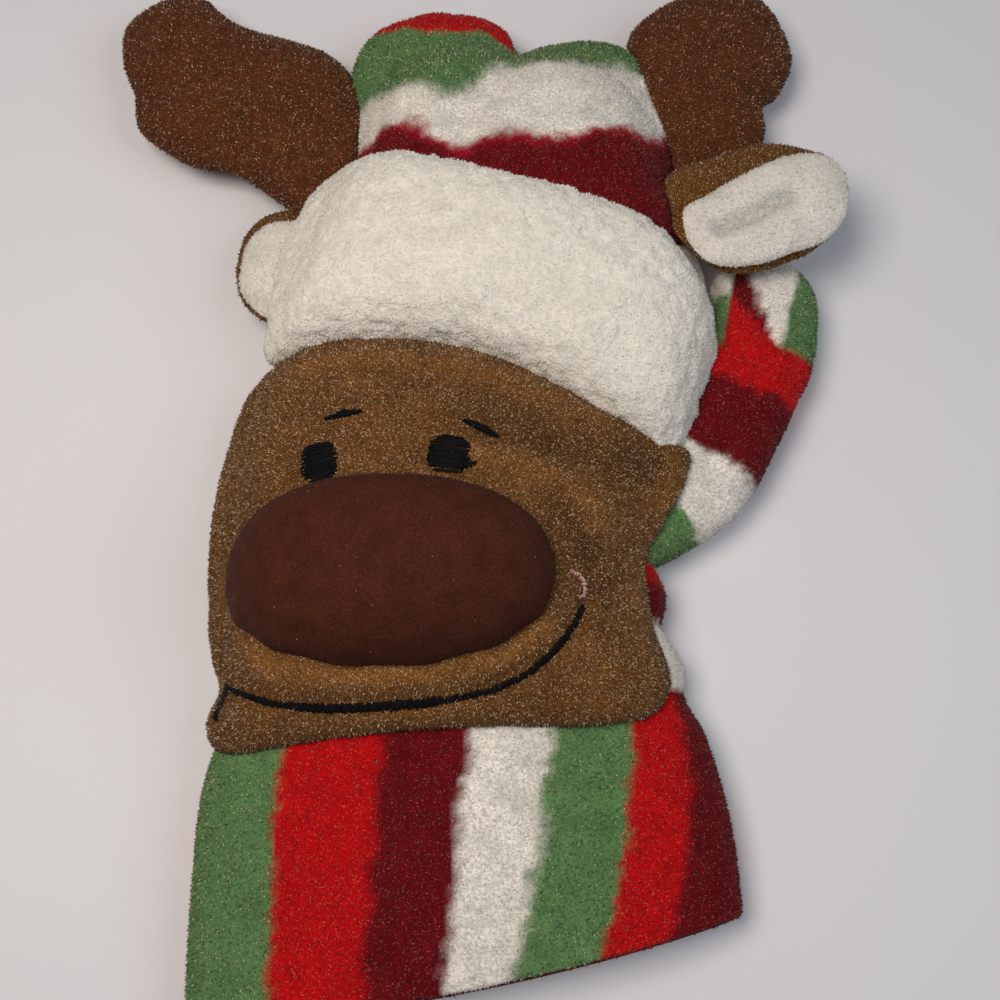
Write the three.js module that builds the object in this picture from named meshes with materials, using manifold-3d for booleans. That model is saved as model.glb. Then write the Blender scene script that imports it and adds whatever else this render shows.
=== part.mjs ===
// A plush reindeer mitten for the left hand, lying palm down on a table.
// Millimetres, +Z up. The fingertips point to +Y and the thumb lies on the +X side. The origin ends up under
// the middle of the whole mitten, at table height.
import * as THREE from "three";
import { mergeVertices } from "three/addons/utils/BufferGeometryUtils.js";
import Module from "manifold-3d";

const wasm = await Module();
wasm.setup();

// The hollow hand. Its length runs from the middle of the mouth to the fingertip seam.
const HAND_LENGTH = 252;
const HAND_WIDTH = 140;
const HAND_HEIGHT = 28;
const SEAM_HEIGHT = 9;
const WALL = 2.5;
const MOUTH_SLANT = 13;
const MOUTH_CURVE = 4;
const GATHER_DEPTH = 3;

// The thumb, from its root inside the hand to its tip.
const THUMB_LENGTH = 112;
const THUMB_WIDTH = 32;
const THUMB_THICKNESS = 20;
const THUMB_LIFT = 0.6;

// How far each padded piece stands above what it is sewn to, where it is fullest.
const FACE_LOFT = 12.5;
const BRIM_LOFT = 18;
const CROWN_LOFT = 13;
const EDGE = 1.8;

// The stuffed nose, and where its middle lies on the hand, as shares across and along it.
const NOSE_WIDTH = 85;
const NOSE_DEPTH = 47;
const NOSE_LOFT = 22;
const NOSE_PLACE = { across: -0.265, along: 0.376 };

// Antlers and ears. A span is the length from the sewn root to the far edge.
const ANTLER_SPAN = 70;
const ANTLER_THICKNESS = 18;
const ANTLER_LIFT = 3;
const EAR_SPAN = 46;
const EAR_BACK_THICKNESS = 7;
const EAR_LINING_THICKNESS = 5;

// Embroidery: thread height above the face and widths of the stitched shapes.
const THREAD_HEIGHT = 1.8;
const EYE_WIDTH = 11;
const BROW_LENGTH = 10;
const BROW_WIDTH = 2.2;
const SMILE_WIDTH = 2.2;

// Powers that shape the hand's cross-section over and under its side seams: nearer 1 is rounder.
const SECTION = { over: 0.8, under: 0.56 };
// How far the underside's curve is carried below the table before the table flattens it.
const REST = 1;

// How full each padded form is over its middle, and how round it is at its rim.
const DOMES = {
  hand: { fullness: 2.5, roundness: 2.5 },
  fingertips: { fullness: 2.4, roundness: 2.4 },
  thumbTip: { fullness: 2.2, roundness: 2.2 },
  face: { fullness: 3.2, roundness: 1.9 },
  nose: { fullness: 2.3, roundness: 2 },
  crown: { fullness: 3.4, roundness: 2 },
  brim: { fullness: 3.4, roundness: 2 },
  brimEnds: { fullness: 7, roundness: 2 },
  pillow: { fullness: 3, roundness: 1.8 },
  smileEnds: { fullness: 6, roundness: 2 },
};

// Clearance between pieces that are sewn to each other.
const GAP = 0.5;
// How far a piece reaches below the surface it is then cut to.
const SINK = 2.5;

// Left and right edges as shares of half the hand's width, and the height as a share of the hand's height,
// at shares of the hand's length.
const HAND_ROWS = [
  { at: 0, left: -1, right: 1, rise: 0.84 },
  { at: 0.1, left: -1, right: 0.98, rise: 0.93 },
  { at: 0.17, left: -0.98, right: 0.94, rise: 0.97 },
  { at: 0.23, left: -0.92, right: 0.88, rise: 0.96 },
  { at: 0.26, left: -0.9, right: 0.82, rise: 0.95 },
  { at: 0.335, left: -0.9, right: 0.74, rise: 0.96 },
  { at: 0.41, left: -0.89, right: 0.71, rise: 0.98 },
  { at: 0.47, left: -0.88, right: 0.76, rise: 1 },
  { at: 0.56, left: -0.84, right: 0.87, rise: 1 },
  { at: 0.65, left: -0.74, right: 0.97, rise: 0.98 },
  { at: 0.74, left: -0.65, right: 0.95, rise: 0.94 },
  { at: 0.82, left: -0.54, right: 0.84, rise: 0.88 },
  { at: 0.89, left: -0.46, right: 0.76, rise: 0.82 },
  { at: 1, left: -0.39, right: 0.66, rise: 0.74 },
];
const TIP_ROUND_FROM = 0.88;
const ELASTIC_ROWS = [0.26, 0.335, 0.41];
const GATHER_REACH = 0.022;
const GATHER_LIFT = 1;
const SLANT_UNTIL = 0.25;
const HAND_SIDES = 32;
const HOLLOW_SIDES = 24;

// The thumb's line as shares of its length from the root, which is a place on the hand, and its half widths
// as shares of half its width.
const THUMB_ROOT = { across: 0.8, along: 0.45 };
// How far along the hand its side is open into the thumb.
const THUMB_OPEN_UNTIL = 0.57;
const THUMB_ROWS = [
  { at: 0, x: -0.16, y: -0.03, left: 0.9, right: 0.9, thick: 0.8 },
  { at: 0.15, x: -0.02, y: 0.01, left: 0.95, right: 1, thick: 0.95 },
  { at: 0.29, x: 0.1, y: 0.065, left: 0.95, right: 1, thick: 1 },
  { at: 0.4, x: 0.19, y: 0.13, left: 0.93, right: 1, thick: 1 },
  { at: 0.52, x: 0.245, y: 0.235, left: 0.9, right: 1.06, thick: 1 },
  { at: 0.65, x: 0.3, y: 0.36, left: 0.87, right: 1.1, thick: 0.98 },
  { at: 0.79, x: 0.345, y: 0.49, left: 0.82, right: 1.18, thick: 0.96 },
  { at: 1, x: 0.355, y: 0.705, left: 0.74, right: 1.1, thick: 0.82 },
];
const THUMB_ROUND_FROM = 0.84;
const THUMB_SIDES = 16;
const THUMB_HOLLOW_SIDES = 12;
const THUMB_RINGS = 9;

// Outlines of the padded pieces as places on the hand: shares across its half width and along its length.
const FACE_MIDDLE = { across: -0.1, along: 0.42 };
const FACE_OUTLINE = [
  { across: -0.9, along: 0.632 },
  { across: -0.66, along: 0.642 },
  { across: -0.26, along: 0.632 },
  { across: 0.1, along: 0.61 },
  { across: 0.57, along: 0.56 },
  { across: 0.98, along: 0.53 },
  { across: 1.16, along: 0.518 },
  { across: 1.25, along: 0.49 },
  { across: 1.15, along: 0.445 },
  { across: 1, along: 0.405 },
  { across: 0.97, along: 0.34 },
  { across: 0.93, along: 0.275 },
  { across: 0.8, along: 0.243 },
  { across: 0.58, along: 0.231 },
  { across: 0.04, along: 0.229 },
  { across: -0.5, along: 0.218 },
  { across: -0.97, along: 0.208 },
  { across: -1.06, along: 0.235 },
  { across: -1.03, along: 0.268 },
  { across: -1.09, along: 0.32 },
  { across: -1.14, along: 0.41 },
  { across: -1.12, along: 0.5 },
  { across: -1.07, along: 0.6 },
];
const CROWN_MIDDLE = { across: 0.02, along: 0.87 };
const CROWN_OUTLINE = [
  { across: -0.93, along: 0.8 },
  { across: -0.98, along: 0.87 },
  { across: -1.08, along: 0.93 },
  { across: -1.21, along: 0.99 },
  { across: -1.08, along: 1.043 },
  { across: -0.66, along: 1.072 },
  { across: -0.22, along: 1.072 },
  { across: 0.02, along: 1.05 },
  { across: 0.13, along: 1.02 },
  { across: 0.3, along: 1.03 },
  { across: 0.75, along: 1.037 },
  { across: 1.1, along: 1.017 },
  { across: 1.19, along: 0.955 },
  { across: 1.11, along: 0.86 },
  { across: 1.01, along: 0.78 },
  { across: 0.6, along: 0.745 },
  { across: 0, along: 0.76 },
  { across: -0.6, along: 0.785 },
];
// The crease between the crown's two lobes: places on the hand, its half width in shares of half the hand's
// width, and its depth as a share of the crown's loft.
const CREASE = {
  from: { across: 0.15, along: 1.02 },
  to: { across: -0.32, along: 0.86 },
  reach: 0.11,
  deep: 0.42,
};

// The brim from its left end to its right one: its lower and upper edges are places along the hand, and the
// upper one leans outwards.
const BRIM_ROWS = [
  { at: 0, across: -1.1, low: 0.69, high: 0.79, lean: -0.07 },
  { at: 0.04, across: -1.065, low: 0.638, high: 0.835, lean: -0.1 },
  { at: 0.12, across: -0.92, low: 0.63, high: 0.863, lean: -0.07 },
  { at: 0.22, across: -0.68, low: 0.636, high: 0.862, lean: -0.03 },
  { at: 0.4, across: -0.27, low: 0.626, high: 0.843, lean: 0 },
  { at: 0.58, across: 0.12, low: 0.604, high: 0.825, lean: 0 },
  { at: 0.76, across: 0.52, low: 0.56, high: 0.8, lean: 0 },
  { at: 0.88, across: 0.79, low: 0.531, high: 0.766, lean: 0 },
  { at: 0.96, across: 0.98, low: 0.512, high: 0.705, lean: 0 },
  { at: 1, across: 1.06, low: 0.54, high: 0.64, lean: 0 },
];

// Antlers and ears: outlines as shares of their span from a root that is a place on the hand. The heights of
// the ears' undersides are shares of the hand's height.
const ANTLERS = {
  antler_left: {
    root: { across: -1.14, along: 0.833 },
    middle: { x: -0.32, y: 0.46 },
    sides: 26,
    outline: [
      { x: -0.02, y: -0.12 },
      { x: -0.14, y: -0.03 },
      { x: -0.34, y: 0.11 },
      { x: -0.52, y: 0.15 },
      { x: -0.67, y: 0.23 },
      { x: -0.77, y: 0.32 },
      { x: -0.79, y: 0.46 },
      { x: -0.86, y: 0.64 },
      { x: -0.85, y: 0.81 },
      { x: -0.71, y: 0.93 },
      { x: -0.54, y: 0.94 },
      { x: -0.4, y: 0.82 },
      { x: -0.15, y: 0.73 },
      { x: 0.04, y: 0.65 },
      { x: 0.16, y: 0.5 },
      { x: 0.2, y: 0.3 },
      { x: 0.18, y: 0.05 },
    ],
  },
  antler_right: {
    root: { across: 1.13, along: 0.86 },
    middle: { x: 0.13, y: 0.43 },
    sides: 24,
    outline: [
      { x: -0.06, y: -0.08 },
      { x: -0.13, y: 0.14 },
      { x: -0.2, y: 0.33 },
      { x: -0.23, y: 0.52 },
      { x: -0.18, y: 0.69 },
      { x: -0.04, y: 0.82 },
      { x: 0.15, y: 0.88 },
      { x: 0.37, y: 0.83 },
      { x: 0.45, y: 0.69 },
      { x: 0.48, y: 0.54 },
      { x: 0.42, y: 0.39 },
      { x: 0.34, y: 0.33 },
      { x: 0.35, y: 0.2 },
      { x: 0.27, y: 0.05 },
      { x: 0.12, y: -0.06 },
    ],
  },
};
const EARS = {
  ear_left: {
    root: { across: -1.1, along: 0.8 },
    middle: { x: -0.16, y: -0.28 },
    lift: 0.3,
    sides: 20,
    outline: [
      { x: 0, y: 0.08 },
      { x: -0.24, y: 0.1 },
      { x: -0.41, y: -0.02 },
      { x: -0.47, y: -0.25 },
      { x: -0.46, y: -0.42 },
      { x: -0.36, y: -0.58 },
      { x: -0.18, y: -0.67 },
      { x: 0.02, y: -0.64 },
      { x: 0.13, y: -0.4 },
      { x: 0.12, y: -0.12 },
    ],
  },
  ear_right: {
    root: { across: 0.99, along: 0.8 },
    middle: { x: 0.48, y: -0.06 },
    lift: 0.84,
    sides: 22,
    outline: [
      { x: -0.12, y: 0.15 },
      { x: 0.18, y: 0.3 },
      { x: 0.45, y: 0.38 },
      { x: 0.68, y: 0.37 },
      { x: 0.88, y: 0.29 },
      { x: 0.97, y: 0.12 },
      { x: 0.92, y: -0.08 },
      { x: 0.8, y: -0.27 },
      { x: 0.6, y: -0.39 },
      { x: 0.38, y: -0.46 },
      { x: 0.16, y: -0.44 },
      { x: -0.08, y: -0.2 },
    ],
  },
};
// The lining is the ear's outline drawn in towards its middle, and shifted by a share of its span.
const LINING_SHARE = 0.87;
const LINING_SHIFT = { x: 0.01, y: -0.03 };

// Embroidery as places on the hand.
const EYES = {
  eye_left: { across: -0.59, along: 0.489, wide: 0.92 },
  eye_right: { across: -0.02, along: 0.495, wide: 1.05 },
};
const BROWS = {
  brow_left: { across: -0.53, along: 0.535, turn: 7 },
  brow_right: { across: 0.09, along: 0.521, turn: -26 },
};
const SMILE_PATH = [
  { across: -0.96, along: 0.266 },
  { across: -0.7, along: 0.25 },
  { across: -0.4, along: 0.247 },
  { across: -0.1, along: 0.251 },
  { across: 0.15, along: 0.262 },
  { across: 0.38, along: 0.288 },
  { across: 0.54, along: 0.321 },
  { across: 0.62, along: 0.348 },
];

const { clamp, degToRad } = THREE.MathUtils;

// Raises the size of a number to a power and keeps its sign.
function power(value, exponent) {
  return Math.sign(value) * Math.abs(value) ** exponent;
}

// A dome's height share at a share of the way from its middle to its rim: full inside, round at the rim.
function dome(share, { fullness, roundness }) {
  return (1 - Math.min(Math.abs(share), 1) ** fullness) ** (1 / roundness);
}

// Evenly spaced numbers from one value to another, both included.
function spread(from, to, count) {
  return Array.from({ length: count }, (_, i) => from + ((to - from) * i) / (count - 1));
}

// One column of a table at a share, on a smooth curve through its rows.
function read(table, column, at) {
  const last = table.length - 1;
  let i = 0;
  while (i < last - 1 && at > table[i + 1].at) {
    i += 1;
  }
  const slope = (k) => {
    const before = table[Math.max(k - 1, 0)];
    const after = table[Math.min(k + 1, last)];
    return (after[column] - before[column]) / (after.at - before.at);
  };
  const span = table[i + 1].at - table[i].at;
  const t = clamp((at - table[i].at) / span, 0, 1);
  const start = (1 + 2 * t) * (1 - t) ** 2 * table[i][column] + t * (1 - t) ** 2 * span * slope(i);
  return start + t ** 2 * (3 - 2 * t) * table[i + 1][column] - t ** 2 * (1 - t) * span * slope(i + 1);
}

// How hard the wrist elastic draws the cloth in at a share of the hand's length.
function elasticAt(along) {
  return Math.max(...ELASTIC_ROWS.map((row) => Math.exp(-(((along - row) / GATHER_REACH) ** 2))));
}

// How far the cloth bulges out between two rows of elastic.
function bulgeAt(along) {
  const inside = along > ELASTIC_ROWS[0] && along < ELASTIC_ROWS[ELASTIC_ROWS.length - 1];
  return inside ? GATHER_DEPTH * (1 - elasticAt(along)) : 0;
}

// The hand's middle line, half width, height and roundness at a share of its length.
function handRow(along) {
  const half = HAND_WIDTH / 2;
  const left = read(HAND_ROWS, "left", along) * half;
  const right = read(HAND_ROWS, "right", along) * half + bulgeAt(along);
  const tip = clamp((along - TIP_ROUND_FROM) / (1 - TIP_ROUND_FROM), 0, 1);
  return {
    middle: (left + right) / 2,
    half: (right - left) / 2,
    top: read(HAND_ROWS, "rise", along) * HAND_HEIGHT,
    narrow: dome(tip, DOMES.fingertips),
  };
}

// A place on the hand, in plan.
function placeOnHand({ across, along }) {
  const row = handRow(along);
  return new THREE.Vector2(row.middle + across * row.half, along * HAND_LENGTH);
}

// The height of the hand's upper side over a point in plan, and of its side seams outside its outline.
function topOfHand(x, y) {
  const row = handRow(clamp(y / HAND_LENGTH, 0, 1));
  if (row.narrow < 0.05 || y > HAND_LENGTH) {
    return SEAM_HEIGHT;
  }
  const across = (x - row.middle) / (row.half * row.narrow);
  return SEAM_HEIGHT + (row.top - SEAM_HEIGHT) * Math.sqrt(row.narrow) * dome(across, DOMES.hand);
}

// The height of the face over a point in plan, at a share of the way from its middle to its rim.
function topOfFace(x, y, share) {
  return topOfHand(x, y) + EDGE + (FACE_LOFT - EDGE) * dome(share, DOMES.face);
}

// Makes a solid from points and triangles, facing out whichever way they were wound.
function solidFrom(points, faces) {
  const geometry = new THREE.BufferGeometry().setFromPoints(points);
  geometry.setIndex(faces);
  const merged = mergeVertices(geometry, 1e-4);
  const index = Array.from(merged.index.array);
  const vertices = merged.getAttribute("position").array;
  let volume = 0;
  const corner = (k) => new THREE.Vector3().fromArray(vertices, 3 * index[k]);
  for (let k = 0; k < index.length; k += 3) {
    volume += corner(k).dot(corner(k + 1).cross(corner(k + 2)));
  }
  const triVerts = new Uint32Array(volume < 0 ? index.reverse() : index);
  return new wasm.Manifold(new wasm.Mesh({ numProp: 3, vertProperties: vertices, triVerts }));
}

// A closed solid through rings with equal numbers of points, each end closed round its middle.
function loft(rings) {
  const count = rings[0].length;
  const points = rings.flat();
  const faces = [];
  for (let k = 0; k + 1 < rings.length; k += 1) {
    for (let i = 0; i < count; i += 1) {
      const here = k * count + i;
      const next = k * count + ((i + 1) % count);
      faces.push(here, next, next + count, here, next + count, here + count);
    }
  }
  [0, rings.length - 1].forEach((k) => {
    const middle = rings[k].reduce((sum, p) => sum.add(p), new THREE.Vector3()).divideScalar(count);
    const pole = points.push(middle) - 1;
    for (let i = 0; i < count; i += 1) {
      const here = k * count + i;
      const next = k * count + ((i + 1) % count);
      faces.push(...(k === 0 ? [pole, next, here] : [pole, here, next]));
    }
  });
  return solidFrom(points, faces);
}

// The largest body of a solid, so that a sliver left by a cut doesn't stay behind.
function mainBody(solid) {
  return solid.decompose().reduce((best, body) => (body.volume() > best.volume() ? body : best));
}

// Cuts a solid to fit its neighbours, given as solids that already hold the clearance.
function fitted(solid, neighbours) {
  return mainBody(neighbours.reduce((rest, neighbour) => rest.subtract(neighbour), solid));
}

// Evenly spaced points on a smooth closed line through places in plan.
function closedLine(places, sides) {
  const knots = places.map((p) => new THREE.Vector3(p.x, p.y, 0));
  const curve = new THREE.CatmullRomCurve3(knots, true, "centripetal");
  return curve.getSpacedPoints(sides).slice(0, sides);
}

// A padded shape: rings drawn in from an outline to its middle, above and below. The heights are functions of
// the point in plan and of the ring's share of the way to the rim.
function pad({ outline, middle, sides, shares, top, bottom }, grow = 0) {
  const line = closedLine(outline, sides);
  const ring = (share, height, lift) =>
    line.map((p, i) => {
      const away = new THREE.Vector2(p.x - middle.x, p.y - middle.y);
      const reach = share * (1 + grow / away.length());
      const [x, y] = [middle.x + away.x * reach, middle.y + away.y * reach];
      return new THREE.Vector3(x, y, height(x, y, share, i / sides) + lift);
    });
  const above = shares.map((share) => ring(share, top, grow));
  const below = shares.map((share) => ring(share, bottom, -grow)).reverse();
  return loft([...above, ...below]);
}

// One ring of the hand or of the hollow in it, which is smaller by an inset. A ring runs from the thumb side
// over the back of the hand.
function handRing(along, sides, inset, end) {
  const row = handRow(along);
  const half = (row.half - inset) * row.narrow;
  const top = SEAM_HEIGHT + (row.top - inset - SEAM_HEIGHT) * Math.sqrt(row.narrow);
  const sink = (SEAM_HEIGHT + REST - Math.min(inset, 0)) * Math.sqrt(row.narrow);
  const lift = GATHER_LIFT * elasticAt(along);
  const slant = (1 - Math.min(along / SLANT_UNTIL, 1)) ** 2;
  return Array.from({ length: sides }, (_, i) => {
    const angle = (2 * Math.PI * i) / sides;
    const above = Math.sin(angle) >= 0;
    const across = power(Math.cos(angle), above ? SECTION.over : SECTION.under);
    const mouth = (MOUTH_SLANT * across + MOUTH_CURVE * (across ** 2 - 1)) * slant;
    // Under the hand, the elastic lifts the lining all along and every other rib of the outside.
    const floor = inset + (inset > 0 || i % 2 === 1 ? lift : 0);
    const z = above
      ? SEAM_HEIGHT + (top - SEAM_HEIGHT) * Math.sin(angle) ** SECTION.over
      : Math.max(SEAM_HEIGHT - sink * (-Math.sin(angle)) ** SECTION.under, floor);
    return new THREE.Vector3(row.middle + half * across, along * end + mouth, z);
  });
}

// The shares of the hand's length at which it has rings: close at the elastic and at the fingertips.
function handShares() {
  const tips = spread(0, Math.PI / 2, 7).map((a) => TIP_ROUND_FROM + (1 - TIP_ROUND_FROM) * Math.sin(a));
  const [first, , last] = ELASTIC_ROWS;
  const cuff = spread(0, 0.225, 5);
  const wrist = spread(first, last, 9);
  return [...cuff, ...wrist, ...spread(0.46, 0.84, 8), ...tips.slice(0, 6), 0.9995];
}

// The hand with its outer size, or larger by a clearance.
function handOuter(grow) {
  return loft(handShares().map((along) => handRing(along, HAND_SIDES, -grow, HAND_LENGTH + grow)));
}

// The hollow for the hand, run out past the mouth so that it is open.
function handInner() {
  const [first, , last] = ELASTIC_ROWS;
  const wrist = spread(first, last, 5);
  const shares = [...spread(0, 0.2, 4), ...wrist, ...spread(0.48, 0.84, 5), 0.89, 0.94, 0.975, 0.9995];
  const rings = shares.map((along) => handRing(along, HOLLOW_SIDES, WALL, HAND_LENGTH - WALL));
  const past = rings[0].map((p) => p.clone().add(new THREE.Vector3(0, -2 * WALL, 0)));
  return loft([past, ...rings]);
}

// The thumb as rings square to its line, smaller all round by an inset.
function thumb(sides, inset, count) {
  const root = placeOnHand(THUMB_ROOT);
  const centre = (at) => {
    const away = new THREE.Vector2(read(THUMB_ROWS, "x", at), read(THUMB_ROWS, "y", at));
    return away.multiplyScalar(THUMB_LENGTH).add(root);
  };
  const shares = [...spread(0, THUMB_ROUND_FROM, count), 0.89, 0.94, 0.975, 0.999];
  return loft(
    shares.map((at) => {
      const ahead = centre(Math.min(at + 0.01, 1)).sub(centre(at - 0.01)).normalize();
      const place = centre(at).addScaledVector(ahead, -inset * at);
      const tip = dome(clamp((at - THUMB_ROUND_FROM) / (1 - THUMB_ROUND_FROM), 0, 1), DOMES.thumbTip);
      const rise = ((read(THUMB_ROWS, "thick", at) * THUMB_THICKNESS) / 2 - inset) * Math.sqrt(tip);
      return Array.from({ length: sides }, (_, i) => {
        const angle = (2 * Math.PI * i) / sides;
        const side = Math.cos(angle) >= 0 ? "right" : "left";
        const half = ((read(THUMB_ROWS, side, at) * THUMB_WIDTH) / 2 - inset) * tip;
        const across = half * power(Math.cos(angle), SECTION.over);
        const z = THUMB_LIFT + THUMB_THICKNESS / 2 + rise * power(Math.sin(angle), SECTION.over);
        return new THREE.Vector3(place.x + ahead.y * across, place.y - ahead.x * across, z);
      });
    }),
  );
}

// The face panel, padded, over the back of the hand.
const face = {
  outline: FACE_OUTLINE.map(placeOnHand),
  middle: placeOnHand(FACE_MIDDLE),
  sides: 40,
  shares: [0.12, 0.4, 0.64, 0.8, 0.91, 0.975, 1],
  top: topOfFace,
  bottom: (x, y) => topOfHand(x, y) - SINK,
};

// How deep the crown's crease is over a point in plan, as a share of its full depth.
function creaseAt(x, y) {
  const from = placeOnHand(CREASE.from);
  const line = placeOnHand(CREASE.to).sub(from);
  const away = new THREE.Vector2(x, y).sub(from);
  const on = clamp(away.dot(line) / line.lengthSq(), 0, 1);
  const off = away.sub(line.multiplyScalar(on)).length() / (CREASE.reach * (HAND_WIDTH / 2));
  return Math.exp(-(off ** 2)) * (1 - 0.7 * on);
}

// The crown of the hat over the fingertips.
const crown = {
  outline: CROWN_OUTLINE.map(placeOnHand),
  middle: placeOnHand(CROWN_MIDDLE),
  sides: 40,
  shares: [0.12, 0.38, 0.6, 0.76, 0.88, 0.96, 1],
  top: (x, y, share) => {
    const loftHere = CROWN_LOFT * (1 - CREASE.deep * creaseAt(x, y));
    return topOfHand(x, y) + EDGE + (loftHere - EDGE) * dome(share, DOMES.crown);
  },
  bottom: (x, y) => topOfHand(x, y) - SINK,
};

// The brim as rings across its band, from its left end to its right one.
function brim(grow = 0) {
  const shares = [...spread(0, 0.06, 3), ...spread(0.12, 0.88, 12), ...spread(0.94, 1, 3)];
  return loft(
    shares.map((at) => {
      const middle = read(BRIM_ROWS, "across", at) + ((2 * at - 1) * grow) / (HAND_WIDTH / 2);
      const lean = read(BRIM_ROWS, "lean", at);
      const place = (share) =>
        placeOnHand({ across: middle + lean * share, along: low + (high - low) * share });
      const low = read(BRIM_ROWS, "low", at) - grow / HAND_LENGTH;
      const high = read(BRIM_ROWS, "high", at) + grow / HAND_LENGTH;
      const end = dome(2 * at - 1, DOMES.brimEnds);
      const over = spread(0, 1, 10).map((share) => {
        const { x, y } = place(0.5 - 0.5 * Math.cos(Math.PI * share));
        const round = dome(Math.cos(Math.PI * share), DOMES.brim);
        return new THREE.Vector3(x, y, topOfHand(x, y) + EDGE + (BRIM_LOFT - EDGE) * end * round + grow);
      });
      const under = [0.98, 0.74, 0.5, 0.26, 0.02].map((share) => {
        const { x, y } = place(share);
        return new THREE.Vector3(x, y, topOfHand(x, y) - SINK - grow);
      });
      return [...over, ...under];
    }),
  );
}

// The stuffed nose, an oval with small puckers along its lower seam.
const noseMiddle = placeOnHand(NOSE_PLACE);
const nose = {
  outline: spread(0, 1, 29).slice(0, 28).map((t) => {
    const angle = 2 * Math.PI * t;
    const pucker = Math.sin(angle) < -0.3 ? 0.015 * Math.cos(14 * angle) : 0;
    return new THREE.Vector2(
      noseMiddle.x + (NOSE_WIDTH / 2) * power(Math.cos(angle), 0.92) * (1 + pucker),
      noseMiddle.y + (NOSE_DEPTH / 2) * power(Math.sin(angle), 0.92) * (1 + pucker),
    );
  }),
  middle: noseMiddle,
  sides: 32,
  shares: [0.14, 0.42, 0.66, 0.83, 0.94, 1],
  top: (x, y, share) =>
    topOfFace(x, y, faceShare(x, y)) + EDGE + (NOSE_LOFT - EDGE) * dome(share, DOMES.nose),
  bottom: (x, y) => topOfFace(x, y, faceShare(x, y)) - 2 * SINK,
};

// How far a point in plan lies from the face's middle to its rim, as a share.
function faceShare(x, y) {
  const away = new THREE.Vector2(x, y).sub(face.middle);
  const direction = away.angle();
  const line = closedLine(face.outline, 4 * face.sides);
  const rim = line.reduce((best, p) => {
    const spoke = new THREE.Vector2(p.x - face.middle.x, p.y - face.middle.y);
    const turn = spoke.angle() - direction;
    const off = Math.abs(Math.atan2(Math.sin(turn), Math.cos(turn)));
    return off < best.off ? { off, reach: spoke.length() } : best;
  }, { off: Infinity, reach: 1 });
  return away.length() / rim.reach;
}

// A flat stuffed shape such as an antler or an ear, whose outline is given as shares of a span from a root.
function pillow(shape, { span, low, thickness, share = 1, shift = { x: 0, y: 0 } }) {
  const { root, middle, outline, sides } = shape;
  const seat = placeOnHand(root);
  const at = (p) => new THREE.Vector2(seat.x + p.x * span, seat.y + p.y * span);
  const drawn = (p) => at({
    x: middle.x + shift.x + (p.x - middle.x) * share,
    y: middle.y + shift.y + (p.y - middle.y) * share,
  });
  return {
    outline: outline.map(drawn),
    middle: at({ x: middle.x + shift.x, y: middle.y + shift.y }),
    sides,
    shares: [0.25, 0.6, 0.85, 0.97],
    top: (x, y, s) => low + (thickness / 2) * (1 + dome(s, DOMES.pillow)),
    bottom: (x, y, s) => low + (thickness / 2) * (1 - dome(s, DOMES.pillow)),
  };
}

// A small stitched shape on the face: an outline round a place, turned by an angle in degrees.
function stitched({ across, along, turn = 0 }, length, width) {
  const place = placeOnHand({ across, along });
  const corner = degToRad(turn);
  return {
    outline: spread(0, 2 * Math.PI, 13).slice(0, 12).map((angle) =>
      new THREE.Vector2((length / 2) * power(Math.cos(angle), 0.6), (width / 2) * power(Math.sin(angle), 0.6))
        .rotateAround(new THREE.Vector2(), corner)
        .add(place),
    ),
    middle: place,
    sides: 14,
    shares: [0.3, 0.85, 1],
    top: (x, y, share) => topOfFace(x, y, faceShare(x, y)) + GAP + THREAD_HEIGHT * (1 - 0.4 * share ** 2),
    bottom: (x, y) => topOfFace(x, y, faceShare(x, y)) - SINK,
  };
}

// The stitched smile as rings along its path.
function smile() {
  const knots = SMILE_PATH.map(placeOnHand).map((p) => new THREE.Vector3(p.x, p.y, 0));
  const curve = new THREE.CatmullRomCurve3(knots, false, "centripetal");
  return loft(
    spread(0, 1, 19).map((t) => {
      const centre = curve.getPointAt(t);
      const ahead = curve.getTangentAt(t);
      const half = (SMILE_WIDTH / 2) * (0.35 + 0.65 * dome(2 * t - 1, DOMES.smileEnds));
      const ground = topOfFace(centre.x, centre.y, faceShare(centre.x, centre.y));
      return [
        [-1, -SINK],
        [-1, GAP + THREAD_HEIGHT * 0.5],
        [-0.4, GAP + THREAD_HEIGHT],
        [0.4, GAP + THREAD_HEIGHT],
        [1, GAP + THREAD_HEIGHT * 0.5],
        [1, -SINK],
      ].map(([side, lift]) =>
        new THREE.Vector3(centre.x - ahead.y * half * side, centre.y + ahead.x * half * side, ground + lift));
    }),
  );
}

const COLOURS = {
  stripe: { color: "#a5202a", roughness: 0.95 },
  tan: { color: "#7d5a33", roughness: 0.95 },
  antler: { color: "#4e3120", roughness: 0.95 },
  cream: { color: "#e4dccb", roughness: 0.95 },
  nose: { color: "#2c1a12", roughness: 0.9 },
  thread: { color: "#14161d", roughness: 0.5 },
};

// A named mesh with its material, from a solid.
function meshOf(name, solid, colour) {
  const { vertProperties, triVerts } = solid.getMesh();
  const geometry = new THREE.BufferGeometry();
  geometry.setAttribute("position", new THREE.BufferAttribute(vertProperties, 3));
  geometry.setIndex(new THREE.BufferAttribute(triVerts, 1));
  geometry.computeVertexNormals();
  const mesh = new THREE.Mesh(geometry, new THREE.MeshStandardMaterial({ ...COLOURS[colour], metalness: 0 }));
  mesh.name = name;
  return mesh;
}

const mitten = new THREE.Group();
const add = (name, solid, colour) => mitten.add(meshOf(name, solid, colour));

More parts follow.
